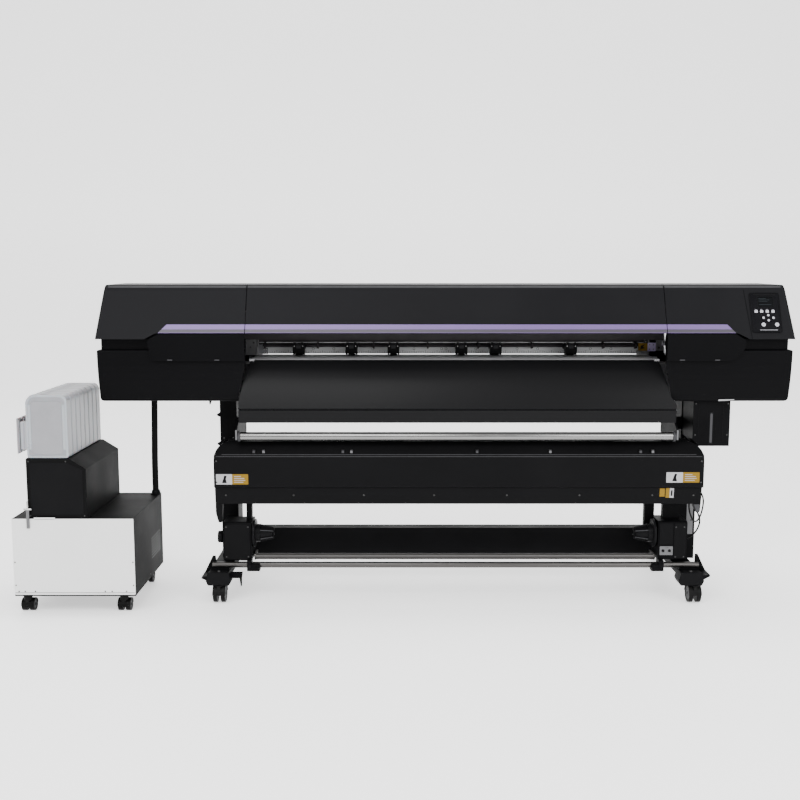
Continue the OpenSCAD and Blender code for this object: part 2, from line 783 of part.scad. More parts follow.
module chuck(x, s) {
  // cone that centres a paper core, pointing along s
  translate([x, core_y, takeup_z])
    rotate([0, s * 90, 0]) {
      cylinder(h = 9, r = 59, $fn = 64);
      translate([0, 0, 8])
        cylinder(h = 21, r = core_r, $fn = 64);
      translate([0, 0, 29])
        cylinder(h = 48, r1 = 30, r2 = 20, $fn = 48);
      for (i = [0:5])
        rotate([0, 0, i * 60])
          translate([0, 2.5, 0])
            rotate([90, 0, 0])
              linear_extrude(height = 5)
                polygon([[10, 28], [core_r - 0.4, 28], [26, 84], [10, 84]]);
      translate([0, 0, -24])
        cylinder(h = 25, r = 8, $fn = 48);
    }
}
module core_holders() {
  color([0.09, 0.09, 0.10])
    at_printer() {
      chuck(-797, 1);
      chuck(889, -1);
    }
}
module takeup_blocks() {
  color([0.06, 0.06, 0.07])
    at_printer()
      difference() {
        union() {
          // left block
          sweep_x(-921, -802, soft([[-240, 167], [-120, 167], [-120, 331], [-240, 331]], [6, 6, 16, 16]));
          // right block with the winding motor
          sweep_x(899, 1020, soft([[-240, 172], [-110, 172], [-110, 335], [-240, 335]], [6, 6, 16, 16]));
          // clamps around the slide rail
          for (e = [[-820, -802], [899, 920]])
            sweep_x(e[0], e[1], soft([[-264, 126], [-214, 126], [-214, 175], [-264, 175]], [10, 6, 0, 10]));
          for (e = [[-803, -768], [872, 900]])
            sweep_x(e[0], e[1], soft([[-264, 126], [-222, 126], [-222, 159], [-264, 159]], [10, 6, 6, 10]));
          // struts up to the dryer
          box(-829, -806, -190, -160, 325, 416);
          box(927, 998, -190, -160, 325, 416);
          sweep_x(862, 904, [[-139, 290], [-112, 290], [-112, 440], [-129.9, 440], [-139, 429.1]]);
          // pivot pins of the tension bar
          rod_x(-803, -786, tens_pivot_y, tens_z, 6);
          rod_x(883, 900, tens_pivot_y, tens_z, 6);
        }
        rod_x(-900, 1000, rail_y, rail_z, 12.5);
        rod_x(-835, -801, core_y, takeup_z, 8 + fit_gap);
        rod_x(898, 932, core_y, takeup_z, 8 + fit_gap);
      }
  color([0.5, 0.5, 0.52])
    at_printer()
      difference() {
        box(905, 962, -243, -239, 191, 231);
        for (x = [920, 947])
          rod_y(-244, -238, x, 211, 6);
      }
}
module tension_bar() {
  color([0.60, 0.60, 0.61])
    at_printer()
      difference() {
        union() {
          rod_x(-794, 891, tens_y, tens_z, 13);
          for (x = [-794, 885])
            sweep_x(x, x + 6, soft([[tens_y - 14, tens_z - 14], [tens_pivot_y + 12, tens_z - 12],
              [tens_pivot_y + 12, tens_z + 12], [tens_y - 14, tens_z + 14]], [12, 10, 10, 12]));
        }
        rod_x(-800, -785, tens_pivot_y, tens_z, 6 + fit_gap);
        rod_x(882, 895, tens_pivot_y, tens_z, 6 + fit_gap);
      }
}
loop_a = [[1034, -200, 416], [1038, -196, 372], [1054, -186, 334], [1078, -160, 316], [1106, -120, 328],
  [1128, -80, 358], [1137, -50, 394], [1122, -20, 432], [1098, -10, 446]];
loop_b = [[1048, -170, 416], [1064, -168, 384], [1085, -166, 348], [1092, -165, 314], [1080, -164, 278],
  [1054, -164, 250], [1020, -164, 240]];
module takeup_cables() {
  color([0.04, 0.04, 0.04])
    at_printer() {
      tube(flow(loop_a, 4), 3.5, [0, 0, -1], [-1, 0, 0], [0, 1, 0.2], 8);
      tube(flow(loop_b, 4), 3.5, [0, 0, -1], [-1, 0, 0], [0, 1, 0.2], 8);
    }
}

// ---------- ink cart ----------
module cart_cabinet() {
  color([0.08, 0.08, 0.08])
    at_cart()
      difference() {
        box(-cart_w / 2, cart_w / 2, -430, 60, 75, cart_z);
        box(-cart_w / 2 + 2, cart_w / 2 - 2, -431, 58, 77, cart_z - 2);
        for (x = [-205, 186])
          for (y = [-390, 20])
            rod_z(70, 80, x, y, 6 + fit_gap);
      }
}
module cart_front_panel() {
  color([0.88, 0.88, 0.87])
    at_cart() {
      box(-cart_w / 2, cart_w / 2, -432, -430, 82, cart_z);
      box(-cart_w / 2 + 4, cart_w / 2 - 4, -435, -431, 82, 88);
      box(-153, -69, -432, -430, cart_z - 1, cart_z + 5);
      for (x = [-236, 236])
        for (z = [120, 215])
          rod_y(-433.5, -431, x, z, 3);
      for (x = [-225, -200, -159, 122, 149, 207])
        rod_y(-433.5, -431, x, 95, 3);
      // latch handle at the front left
      box(-181, -169, front_y + 0.4, front_y + 6.8, 355, 433);
      rod_z(432, 466, -175, front_y + 4, 4);
      rod_x(-191, -159, front_y + 4, 433, 4);
      box(-179, -171, front_y + 3, -431, 368, 380);
    }
}
module ink_tower() {
  color([0.09, 0.09, 0.10])
    at_cart() {
      difference() {
        sweep_y(-425, 55, [[-178, cart_z], [59, cart_z], [59, 594], [-6, 635], [-178, 635]]);
        sweep_y(-422, 52, [[-175, cart_z - 1], [56, cart_z - 1], [56, 592.3], [-7, 632], [-175, 632]]);
        for (i = [0:case_count - 1])
          rod_z(630, 640, -84, -393 + i * case_pitch, 15.5);
      }
      box(-182, -177, -300, -280, 492, 508);
    }
}
module ink_cases() {
  color([0.80, 0.81, 0.83])
    at_cart()
      for (i = [0:case_count - 1]) {
        yc = -393 + i * case_pitch;
        sweep_y(yc - 26, yc + 26, soft([[-173, 635], [-8, 635], [-8, 868], [-26, 889], [-151, 889], [-173, 862]],
          [5, 6, 12, 12, 14, 10]));
        rod_z(620, 636, -84, yc, 15);
        box(-213, -206, yc - 20, yc + 20, 653, 795);
        box(-207, -171, yc - 13, yc + 13, 668, 780);
      }
}
hose_path = [[printer_x - 1246, -10, base_z], [printer_x - 1247, -9, 790], [printer_x - 1251, -2, 680],
  [printer_x - 1256, 8, 560], [cart_x + 227, 22, 460], [cart_x + 226, 30, cart_z]];
module ink_hose() {
  color([0.04, 0.04, 0.04])
    tube(flow(hose_path, 5), 14, [0, 0, -1], [0, 0, -1], [0, 1, 0], 12);
}
module cart_caster(x, y, a) {
  color([0.05, 0.05, 0.05])
    at_cart()
      translate([x, y, 0])
        rotate([0, 0, a]) {
          rod_z(48, 74.5, 0, 0, 17);
          rod_z(74, 90, 0, 0, 6);
          sweep_x(-7, 7, soft([[-16, 48], [0, 14], [26, 14], [32, 36], [24, 56], [-16, 56]], [2, 6, 6, 8, 8, 2]));
          rod_x(-27, 27, 14, 25, 5);
          for (s = [-1, 1])
            difference() {
              rod_x(s > 0 ? 6 : -25.4, s > 0 ? 25.4 : -6, 14, 25, 25);
              rod_x(s > 0 ? 22.4 : -26.4, s > 0 ? 26.4 : -22.4, 14, 25, 17);
            }
        }
}
module cart_caster_fl() {
  cart_caster(-205, -390, 0);
}
module cart_caster_fr() {
  cart_caster(186, -390, 0);
}
module cart_caster_rl() {
  cart_caster(-205, 20, 180);
}
module cart_caster_rr() {
  cart_caster(186, 20, 180);
}

// ---------- selection ----------
leg_left();
leg_right();
cross_beam();
fork_fl();
fork_fr();
fork_rl();
fork_rr();
wheel_fl();
wheel_fr();
wheel_rl();
wheel_rr();
chassis();
guide_beam();
carriage();
cutter_tool();
platen();
grit_shaft();
pinch_arms();
pinch_wheels();
clamp_lever();
front_cover();
accent_center();
accent_ends();
left_housing_top();
left_housing_base();
right_housing_top();
right_housing_base();
left_door();
right_door();
rear_cover();
control_panel();
lcd_screen();
key_1();
key_2();
key_3();
key_4();
nav_pad();
key_enter();
key_end();
front_apron();
rear_apron();
capping_station();
waste_holder();
waste_tank();
guide_bar();
dryer_housing();
slide_rail();
core_holders();
takeup_blocks();
tension_bar();
takeup_cables();
cart_cabinet();
cart_front_panel();
ink_tower();
ink_cases();
ink_hose();
cart_caster_fl();
cart_caster_fr();
cart_caster_rl();
cart_caster_rr();
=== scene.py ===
"""Looks of a roll-fed printer cutter with its stand, take-up unit and ink cart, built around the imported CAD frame.

Shapes are written in millimetres. X counts from the middle of the printer's head, or from the middle of the ink
cart where CART_X is given; Y and Z are the frame's own. Materials are named by their key in M.
"""

import math

import bmesh
import bpy
from mathutils import Matrix, Vector


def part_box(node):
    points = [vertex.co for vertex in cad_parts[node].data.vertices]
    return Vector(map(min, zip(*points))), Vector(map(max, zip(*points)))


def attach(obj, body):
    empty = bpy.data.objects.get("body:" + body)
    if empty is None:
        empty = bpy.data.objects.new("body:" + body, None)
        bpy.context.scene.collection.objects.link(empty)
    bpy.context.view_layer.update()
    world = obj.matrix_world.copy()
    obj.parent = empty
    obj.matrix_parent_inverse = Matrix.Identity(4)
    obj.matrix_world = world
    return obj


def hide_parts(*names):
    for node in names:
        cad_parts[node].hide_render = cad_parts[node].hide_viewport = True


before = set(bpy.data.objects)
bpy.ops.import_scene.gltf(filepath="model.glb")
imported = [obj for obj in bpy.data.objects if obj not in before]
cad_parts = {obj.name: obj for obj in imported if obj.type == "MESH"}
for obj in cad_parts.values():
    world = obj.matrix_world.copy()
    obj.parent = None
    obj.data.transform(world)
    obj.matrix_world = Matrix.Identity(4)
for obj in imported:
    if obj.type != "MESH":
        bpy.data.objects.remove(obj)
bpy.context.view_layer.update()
MM = 0.001
ROOT = "machine"


# Places from the frame
def lo(node):
    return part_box(node)[0]


def hi(node):
    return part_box(node)[1]


def mid(node):
    a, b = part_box(node)
    return (Vector(a) + Vector(b)) / 2


HEAD_X = (lo("left_housing_base")[0] + hi("right_housing_base")[0]) / 2
CART_X = mid("cart_cabinet")[0]
# ends of the media opening
L = (hi("left_housing_base")[0] - HEAD_X) / MM + 1
R = (lo("right_housing_base")[0] - HEAD_X) / MM - 1
COVER_Z = lo("front_cover")[2]
FACE_Y = lo("left_door")[1] + 3 * MM
FACE_SLOPE = 0.431  # how far the front of the head leans back for each unit of height
SLOPE_LEN = math.hypot(1.0, FACE_SLOPE)


def face_y(z):
    """Y of the sloping front face of the upper head at height z."""
    return FACE_Y + (z - COVER_Z) * FACE_SLOPE


# Camera, floor and light
CAMERA_PLACE = (-0.020, -4.460, 1.377)
CAMERA_DOWN = 7.166  # degrees below level
FLOOR_NEAR, COVE_Y, COVE_R, WALL_TOP, FLOOR_SIDE = -9.0, 5.0, 2.0, 9.0, 14


def new_object(name, data):
    obj = bpy.data.objects.new(name, data)
    bpy.context.scene.collection.objects.link(obj)
    return obj


def add_camera():
    data = bpy.data.cameras.new("camera")
    data.lens = 46.53
    data.sensor_width = 36.0
    data.clip_start, data.clip_end = 0.05, 60
    cam = new_object("camera", data)
    cam.location = CAMERA_PLACE
    cam.rotation_euler = (math.radians(90 - CAMERA_DOWN), 0, 0)
    bpy.context.scene.camera = cam


def area_light(name, place, target, size, power):
    data = bpy.data.lights.new(name, "AREA")
    data.shape = "RECTANGLE"
    data.size, data.size_y = size
    data.energy = power
    lamp = new_object(name, data)
    lamp.location = place
    lamp.rotation_euler = (Vector(target) - Vector(place)).to_track_quat("-Z", "Y").to_euler()


def backdrop(mat):
    """One sheet: floor, a wide cove and a wall far behind."""
    rows = [(FLOOR_NEAR, 0.0), (COVE_Y, 0.0)]
    rows += [(COVE_Y + COVE_R * math.sin(a), COVE_R - COVE_R * math.cos(a))
             for a in (math.pi / 24 * k for k in range(1, 13))]
    rows.append((COVE_Y + COVE_R, WALL_TOP))
    bm = bmesh.new()
    left = [bm.verts.new((-FLOOR_SIDE, y, z)) for y, z in rows]
    right = [bm.verts.new((FLOOR_SIDE, y, z)) for y, z in rows]
    for k in range(len(rows) - 1):
        bm.faces.new((left[k], right[k], right[k + 1], left[k + 1])).smooth = True
    mesh = bpy.data.meshes.new("backdrop")
    bm.to_mesh(mesh)
    bm.free()
    mesh.materials.append(mat)
    obj = new_object("backdrop", mesh)


# Materials
def principled(name):
    mat = bpy.data.materials.new(name)
    mat.use_nodes = True
    tree = mat.node_tree
    return mat, tree, tree.nodes["Principled BSDF"]


def link(tree, a, out, b, inp):
    tree.links.new(a.outputs[out], b.inputs[inp])


def noise(tree, coord, scale, detail=3.0, rough=0.5):
    n = tree.nodes.new("ShaderNodeTexNoise")
    n.inputs["Scale"].default_value = scale
    n.inputs["Detail"].default_value = detail
    n.inputs["Roughness"].default_value = rough
    tree.links.new(coord, n.inputs["Vector"])
    return n


def ramp(tree, fac, c0, c1, p0=0.3, p1=0.7):
    r = tree.nodes.new("ShaderNodeValToRGB")
    r.color_ramp.elements[0].position, r.color_ramp.elements[1].position = p0, p1
    r.color_ramp.elements[0].color = (*c0, 1)
    r.color_ramp.elements[1].color = (*c1, 1)
    tree.links.new(fac, r.inputs["Fac"])
    return r


def spread(tree, fac, low, high, p0=0.3, p1=0.7):
    m = tree.nodes.new("ShaderNodeMapRange")
    m.inputs["From Min"].default_value, m.inputs["From Max"].default_value = p0, p1
    m.inputs["To Min"].default_value, m.inputs["To Max"].default_value = low, high
    tree.links.new(fac, m.inputs["Value"])
    return m


def surface(name, color, rough=(0.4, 0.5), tint=0.12, grain=900.0, bump=0.15, cloud=3.0, metallic=0.0,
            stretch=None, coat=0.0, dust=0.0, specular=None):
    """A moulded, coated or metal surface: cloudy tone and roughness, fine grain in the bump."""
    mat, tree, shader = principled(name)
    coord = tree.nodes.new("ShaderNodeTexCoord").outputs["Object"]
    fine = coord
    if stretch:
        m = tree.nodes.new("ShaderNodeMapping")
        m.inputs["Scale"].default_value = stretch
        tree.links.new(coord, m.inputs["Vector"])
        fine = m.outputs["Vector"]
    broad = noise(tree, coord, cloud, 4.0, 0.55)
    dark = tuple(c * (1 - tint) for c in color)
    light = tuple(min(1, c * (1 + tint) + dust * 0.02) for c in color)
    tone = ramp(tree, broad.outputs["Fac"], dark, light)
    small = noise(tree, fine, grain, 2.0, 0.6)
    mix = tree.nodes.new("ShaderNodeMix")
    mix.data_type = "RGBA"
    mix.blend_type = "OVERLAY"
    mix.inputs["Factor"].default_value = 0.25
    link(tree, tone, "Color", mix, "A")
    speck = ramp(tree, small.outputs["Fac"], (0.42, 0.42, 0.42), (0.58, 0.58, 0.58), 0.35, 0.65)
    link(tree, speck, "Color", mix, "B")
    link(tree, mix, "Result", shader, "Base Color")
    gloss = spread(tree, broad.outputs["Fac"], rough[0], rough[1])
    link(tree, gloss, "Result", shader, "Roughness")
    b = tree.nodes.new("ShaderNodeBump")
    b.inputs["Strength"].default_value = bump
    b.inputs["Distance"].default_value = 0.0006
    link(tree, small, "Fac", b, "Height")
    link(tree, b, "Normal", shader, "Normal")
    shader.inputs["Metallic"].default_value = metallic
    shader.inputs["Coat Weight"].default_value = coat
    if specular is None:
        specular = 0.04 if max(color) < 0.06 and not metallic else 0.5
    shader.inputs["Specular IOR Level"].default_value = specular
    return mat


def translucent(name, color, rough=0.35, alpha=0.55):
    """Cloudy polyethylene: light passes, shapes inside blur."""
    mat, tree, shader = principled(name)
    coord = tree.nodes.new("ShaderNodeTexCoord").outputs["Object"]
    broad = noise(tree, coord, 14.0, 3.0)
    tone = ramp(tree, broad.outputs["Fac"], tuple(c * 0.93 for c in color), color)
    link(tree, tone, "Color", shader, "Base Color")
    gloss = spread(tree, broad.outputs["Fac"], rough * 0.85, rough * 1.15)
    link(tree, gloss, "Result", shader, "Roughness")
    fine = noise(tree, coord, 320.0, 2.0)
    b = tree.nodes.new("ShaderNodeBump")
    b.inputs["Strength"].default_value = 0.12
    b.inputs["Distance"].default_value = 0.0005
    link(tree, fine, "Fac", b, "Height")
    link(tree, b, "Normal", shader, "Normal")
    shader.inputs["Transmission Weight"].default_value = alpha
    shader.inputs["IOR"].default_value = 1.45
    shader.inputs["Subsurface Weight"].default_value = 0.15
    return mat


M = {
    "floor": surface("floor", (0.93, 0.93, 0.93), (0.55, 0.65), 0.01, 40, 0.02, 0.6),
    "cover": surface("cover_plastic", (0.0075, 0.0075, 0.0085), (0.40, 0.48), 0.10, 1500, 0.10, 2.5),
    "base": surface("base_plastic", (0.0022, 0.0022, 0.0026), (0.42, 0.52), 0.10, 1500, 0.12, 2.5),
    "steel_black": surface("stand_black", (0.0022, 0.0022, 0.0026), (0.45, 0.6), 0.15, 1200, 0.25, 5, dust=0.05),
    "apron": surface("apron_coat", (0.0055, 0.0055, 0.006), (0.30, 0.36), 0.06, 1400, 0.05, 1.5, specular=0.07),
    "dryer": surface("dryer_black", (0.0040, 0.0040, 0.0044), (0.42, 0.52), 0.12, 1300, 0.12, 3),
    "chassis": surface("frame_steel", (0.10, 0.10, 0.105), (0.4, 0.5), 0.08, 900, 0.12, 4),
    "alu": surface("aluminium", (0.80, 0.81, 0.82), (0.28, 0.38), 0.04, 260, 0.12, 6, 1.0, stretch=(0.04, 1, 1)),
    "bar": surface("bar_steel", (0.20, 0.198, 0.196), (0.22, 0.3), 0.05, 500, 0.01, 5, 1.0, stretch=(0.05, 1, 1)),
    "bar_dull": surface("bar_dull", (0.08, 0.077, 0.075), (0.34, 0.42), 0.05, 500, 0.01, 5, 1.0, stretch=(0.05, 1, 1)),
    "white_rail": surface("white_rail", (0.82, 0.83, 0.84), (0.35, 0.45), 0.03, 400, 0.05, 6),
    "carriage": surface("carriage_black", (0.006, 0.006, 0.0065), (0.35, 0.45), 0.1, 1400, 0.1, 6),
    "pinch": surface("pinch_black", (0.005, 0.005, 0.0055), (0.28, 0.38), 0.1, 1200, 0.08, 9),
    "rubber": surface("rubber", (0.006, 0.006, 0.006), (0.55, 0.7), 0.15, 700, 0.25, 12),
    "caster": surface("caster_black", (0.005, 0.005, 0.005), (0.32, 0.45), 0.2, 900, 0.15, 20, dust=0.2),
    "grit": surface("grit", (0.55, 0.55, 0.56), (0.4, 0.55), 0.1, 2600, 0.5, 9, 1.0),
    "purple": surface("accent_purple", (0.135, 0.088, 0.225), (0.3, 0.38), 0.08, 1800, 0.03, 1.2, 0.1, specular=0.25),
    "lilac": surface("accent_lower", (0.055, 0.050, 0.062), (0.3, 0.4), 0.06, 1800, 0.03, 1.2, 0.1, specular=0.2),
    "gloss": surface("panel_gloss", (0.0035, 0.0035, 0.0045), (0.16, 0.24), 0.2, 300, 0.02, 7, coat=0.06),
    "screen": surface("screen", (0.002, 0.0024, 0.003), (0.08, 0.12), 0.12, 260, 0.01, 5, coat=0.15),
    "key": surface("key_grey", (0.46, 0.46, 0.50), (0.35, 0.45), 0.05, 1500, 0.08, 20),
    "tank": surface("tank_grey", (0.34, 0.34, 0.36), (0.3, 0.4), 0.1, 900, 0.08, 12),
    "grey_plastic": surface("grey_plastic", (0.26, 0.26, 0.28), (0.38, 0.48), 0.08, 1200, 0.1, 14),
    "cart": surface("cart_black", (0.0035, 0.0035, 0.0037), (0.50, 0.62), 0.15, 1100, 0.2, 4),
    "white": surface("cart_white", (0.76, 0.765, 0.76), (0.34, 0.44), 0.025, 520, 0.12, 4),
    "screw": surface("screw_dark", (0.05, 0.05, 0.05), (0.3, 0.4), 0.2, 900, 0.1, 40, 0.8),
    "screw_zinc": surface("screw_zinc", (0.55, 0.55, 0.54), (0.25, 0.35), 0.1, 900, 0.1, 40, 1.0),
    "cable": surface("cable_black", (0.005, 0.005, 0.005), (0.38, 0.5), 0.15, 800, 0.1, 20),
    "label_white": surface("label_white", (0.33, 0.33, 0.34), (0.4, 0.5), 0.03, 900, 0.03, 20, specular=0.2),
    "label_amber": surface("label_amber", (0.185, 0.108, 0.0075), (0.4, 0.5), 0.04, 900, 0.03, 20, specular=0.15),
    "ink": translucent("ink_case", (0.32, 0.32, 0.345), 0.34, 0.25),
    "ink_rim": translucent("ink_rim", (0.42, 0.42, 0.445), 0.30, 0.15),
    "ink_shade": surface("ink_shade", (0.235, 0.235, 0.25), (0.3, 0.4), 0.06, 500, 0.06, 14),
    "lilac_plate": surface("lilac_plate", (0.42, 0.36, 0.56), (0.3, 0.4), 0.05, 900, 0.05, 20),
    "pinch_edge": surface("pinch_edge", (0.030, 0.030, 0.032), (0.3, 0.4), 0.1, 1200, 0.06, 20),
    "grey_hub": surface("grey_hub", (0.045, 0.045, 0.048), (0.35, 0.45), 0.1, 900, 0.08, 30),
    "sleeve": surface("hose_sleeve", (0.006, 0.006, 0.006), (0.5, 0.62), 0.15, 1900, 0.5, 20, stretch=(1, 1, 0.5)),
    # Guide beam's dark tone is painted shade: it stands in the shadow inside the head.
    "beam_painted_shade": surface("beam_painted_shade", (0.055, 0.052, 0.054), (0.35, 0.5), 0.12, 700, 0.2, 12),
    "platen_dark": surface("platen_dark", (0.30, 0.30, 0.31), (0.3, 0.42), 0.08, 900, 0.1, 6),
    "ledge": surface("ledge_grey", (0.085, 0.085, 0.09), (0.4, 0.5), 0.08, 1200, 0.1, 14),
    "lcd_ink": surface("lcd_ink", (0.020, 0.024, 0.027), (0.15, 0.25), 0.05, 900, 0.02, 9),
    "ink_bag": surface("ink_bag", (0.28, 0.28, 0.31), (0.3, 0.45), 0.15, 60, 0.3, 9),
}
FLOOR = M["floor"].node_tree.nodes["Principled BSDF"]
FLOOR.inputs["Emission Color"].default_value = (1, 1, 1, 1)
FLOOR.inputs["Emission Strength"].default_value = 0.80


# Building blocks
EDGE_LIMIT = math.radians(38)  # sharper edges than this are rounded


def round_edges(obj, width):
    bevel = obj.modifiers.new("edges", "BEVEL")
    bevel.width = width * MM
    bevel.segments = 2
    bevel.limit_method = "ANGLE"
    bevel.angle_limit = EDGE_LIMIT
    return bevel


def finish_mesh(name, bm, mat, width=0.0, smooth=32, body=ROOT):
    """Mesh from bm, smooth except at edges sharper than smooth degrees, with edges rounded by width."""
    bmesh.ops.recalc_face_normals(bm, faces=bm.faces)
    limit = math.radians(smooth)
    for f in bm.faces:
        f.smooth = True
    for e in bm.edges:
        e.smooth = len(e.link_faces) == 2 and e.calc_face_angle(0) < limit
    mesh = bpy.data.meshes.new(name)
    bm.to_mesh(mesh)
    bm.free()
    mesh.materials.append(M[mat])
    obj = new_object(name, mesh)
    if width:
        round_edges(obj, width)
    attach(obj, body)
    return obj


def join_rings(bm, rings, closed=False):
    """Faces between rings of vertices, each ring closed in itself; closed also joins the last to the first."""
    n = len(rings[0])
    for p, q in zip(rings, rings[1:] + rings[:1] if closed else rings[1:]):
        for i in range(n):
            j = (i + 1) % n
            bm.faces.new((p[i], p[j], q[j], q[i]))


def place(axis, along, p):
    """Point p of an outline, at that distance along axis."""
    a, b = p
    return {"x": (along, a, b), "y": (a, along, b), "z": (a, b, along)}[axis]


def add_prism(bm, outline, axis, a, b, matrix=None):
    """Outline run along axis from a to b, in metres."""
    first, last = ([bm.verts.new(place(axis, along, p)) for p in outline] for along in (a, b))
    bm.faces.new(first)
    bm.faces.new(last[::-1])
    join_rings(bm, [first, last])
    if matrix:
        bmesh.ops.transform(bm, matrix=matrix, verts=first + last)


def prism(name, outline, axis, a, b, mat, width, body):
    bm = bmesh.new()
    add_prism(bm, outline, axis, a, b)
    return finish_mesh(name, bm, mat, width, body=body)


def rect(a0, a1, b0, b1, r=0.0, n=5):
    """Rectangle outline with round corners."""
    if r <= 0:
        return [(a0, b0), (a1, b0), (a1, b1), (a0, b1)]
    out = []
    for ca, cb, start in ((a1 - r, b0 + r, -90), (a1 - r, b1 - r, 0), (a0 + r, b1 - r, 90), (a0 + r, b0 + r, 180)):
        for k in range(n + 1):
            t = math.radians(start + 90 * k / n)
            out.append((ca + r * math.cos(t), cb + r * math.sin(t)))
    return out


def circle(a, b, r, n=40):
    return [(a + r * math.cos(2 * math.pi * k / n), b + r * math.sin(2 * math.pi * k / n)) for k in range(n)]


TURN = {"x": Matrix.Rotation(math.radians(90), 4, "Y"), "y": Matrix.Rotation(math.radians(-90), 4, "X"),
        "z": Matrix.Identity(4)}


def add_lathe(bm, profile, axis, centre, sign, n):
    """Turned shape; profile is (radius, distance along axis) pairs, and a radius of 0 closes the end."""
    rings = []
    for r, h in profile:
        line = circle(0, 0, r * MM, n) if r > 0 else [(0, 0)]
        rings.append([bm.verts.new((x, y, h * MM * sign)) for x, y in line])
    for p, q in zip(rings, rings[1:]):
        for k in range(n):
            j = (k + 1) % n
            if len(p) == 1 and len(q) == 1:
                continue
            if len(p) == 1:
                bm.faces.new((p[0], q[j], q[k]))
            elif len(q) == 1:
                bm.faces.new((p[k], p[j], q[0]))
            else:
                bm.faces.new((p[k], p[j], q[j], q[k]))
    verts = [v for ring in rings for v in ring]
    bmesh.ops.transform(bm, matrix=Matrix.Translation(centre) @ TURN[axis], verts=verts)


def lathe(name, profile, axis, spots, mat, n=56, smooth=40, body=ROOT):
    """The same turned shape at each (centre, sign) of spots, in one object."""
    bm = bmesh.new()
    for centre, sign in spots:
        add_lathe(bm, profile, axis, centre, sign, n)
    return finish_mesh(name, bm, mat, 0, smooth, body)


def smooth_path(points, steps):
    """Catmull-Rom curve through points."""
    out = []
    n = len(points)
    for i in range(n - 1):
        p0, p1, p2, p3 = (Vector(points[max(0, min(n - 1, i + k))]) for k in (-1, 0, 1, 2))
        for j in range(steps):
            t = j / steps
            out.append(0.5 * ((2 * p1) + (p2 - p0) * t + (2 * p0 - 5 * p1 + 4 * p2 - p3) * t * t
                              + (3 * p1 - p0 - 3 * p2 + p3) * t ** 3))
    out.append(Vector(points[-1]))
    return out


def wire(name, points, radius, mat, steps, body=ROOT):
    """Round cable or hose along a smooth path of points in metres."""
    path = smooth_path(points, steps)
    curve = bpy.data.curves.new(name, "CURVE")
    curve.dimensions = "3D"
    curve.bevel_depth = radius * MM
    curve.bevel_resolution = 6
    curve.use_fill_caps = True
    line = curve.splines.new("POLY")
    line.points.add(len(path) - 1)
    for point, place_at in zip(line.points, path):
        point.co = (*place_at, 1)
    line.use_smooth = True
    curve.materials.append(M[mat])
    obj = new_object(name, curve)
    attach(obj, body)
    return obj


def px(x):
    """Head X to the frame's metres."""
    return HEAD_X + x * MM


def at(x, y, z):
    """Point beside the head, in the frame's metres."""
    return px(x), y * MM, z * MM


def on_face(x, z):
    """Matrix of local axes on the sloping front: x right, y up the slope, z outward."""
    tilt = math.atan2(1.0, FACE_SLOPE)
    return Matrix.Translation((px(x), face_y(z * MM), z * MM)) @ Matrix.Rotation(tilt, 4, "X")


def run_x(name, x0, x1, outline, mat, width=0.5, origin=HEAD_X, body=ROOT):
    """Outline of (y, z), run along X."""
    return prism(name, [(y * MM, z * MM) for y, z in outline], "x", origin + x0 * MM, origin + x1 * MM, mat,
                 width, body)


def run_y(name, y0, y1, outline, mat, slot=None, width=0.5, origin=HEAD_X, body=ROOT):
    """Outline of (x, z), run along Y."""
    return prism(name, [(origin + x * MM, z * MM) for x, z in outline], "y", y0 * MM, y1 * MM, mat, width, body)


def blocks(name, rows, mat, slot=None, width=0.5, origin=HEAD_X, body=ROOT):
    """Several rounded blocks in one object; rows are x0, x1, y0, y1, z0, z1."""
    bm = bmesh.new()
    for x0, x1, y0, y1, z0, z1 in rows:
        x0, x1 = sorted((x0, x1))
        add_prism(bm, rect(origin + x0 * MM, origin + x1 * MM, z0 * MM, z1 * MM), "y", y0 * MM, y1 * MM)
    return finish_mesh(name, bm, mat, width, body=body)


def decal(name, outlines, x, z, lift0, lift1, mat, width=0.15, body=ROOT):
    """Flat shapes on the sloping face; x right and y up the slope from the point x, z."""
    bm = bmesh.new()
    for outline in outlines:
        add_prism(bm, [(a * MM, b * MM) for a, b in outline], "z", lift0 * MM, lift1 * MM, on_face(x, z))
    return finish_mesh(name, bm, mat, width, 40, body)


def screws(name, places, axis, sign, radius, mat="screw", origin=HEAD_X, body=ROOT):
    """Pan-head screws with a drive recess, one object for the group."""
    h = radius * 0.55
    profile = [(0, h * 0.55), (radius * 0.22, h * 0.55), (radius * 0.30, h), (radius * 0.62, h * 0.94),
               (radius * 0.92, h * 0.6), (radius, 0), (0, 0)]
    spots = [((origin + x * MM, y * MM, z * MM), sign) for x, y, z in places]
    return lathe(name, profile, axis, spots, mat, 20, 50, body)


def grid(xs, ys, zs):
    """Every combination of the given places; a bare number stands for itself."""
    xs, ys, zs = (v if isinstance(v, (tuple, range)) else (v,) for v in (xs, ys, zs))
    return [(x, y, z) for x in xs for y in ys for z in zs]


# Accent strip: two tones with a groove between them
STRIP_Z = 1124


def strip_left(z):
    return -1157 + 37 * (z - STRIP_Z) / 36


def strip_right(z):
    return 1172 - (z - STRIP_Z)


STRIPS = (("centre", "front_cover", lambda z: L + 1.5, lambda z: R - 1.5),
          ("left", ROOT, strip_left, lambda z: L - 1.5),
          ("right", ROOT, lambda z: R + 1.5, strip_right))
TONES = (("lower", 1126.2, 1137.5, 2.6, "lilac"), ("groove", 1138.0, 1139.2, 2.25, "screw"),
         ("upper", 1139.8, 1158.2, 2.5, "purple"))
for part, owner, end_a, end_b in STRIPS:
    for tone, za, zb, lift, look in TONES:
        corners = [(end_a(za), za), (end_b(za), za), (end_b(zb), zb), (end_a(zb), zb)]
        decal(f"accent_{tone}_{part}", [[(x, (z - STRIP_Z) * SLOPE_LEN) for x, z in corners]], 0, STRIP_Z, 0.6, lift,
              look, 0.2, owner)

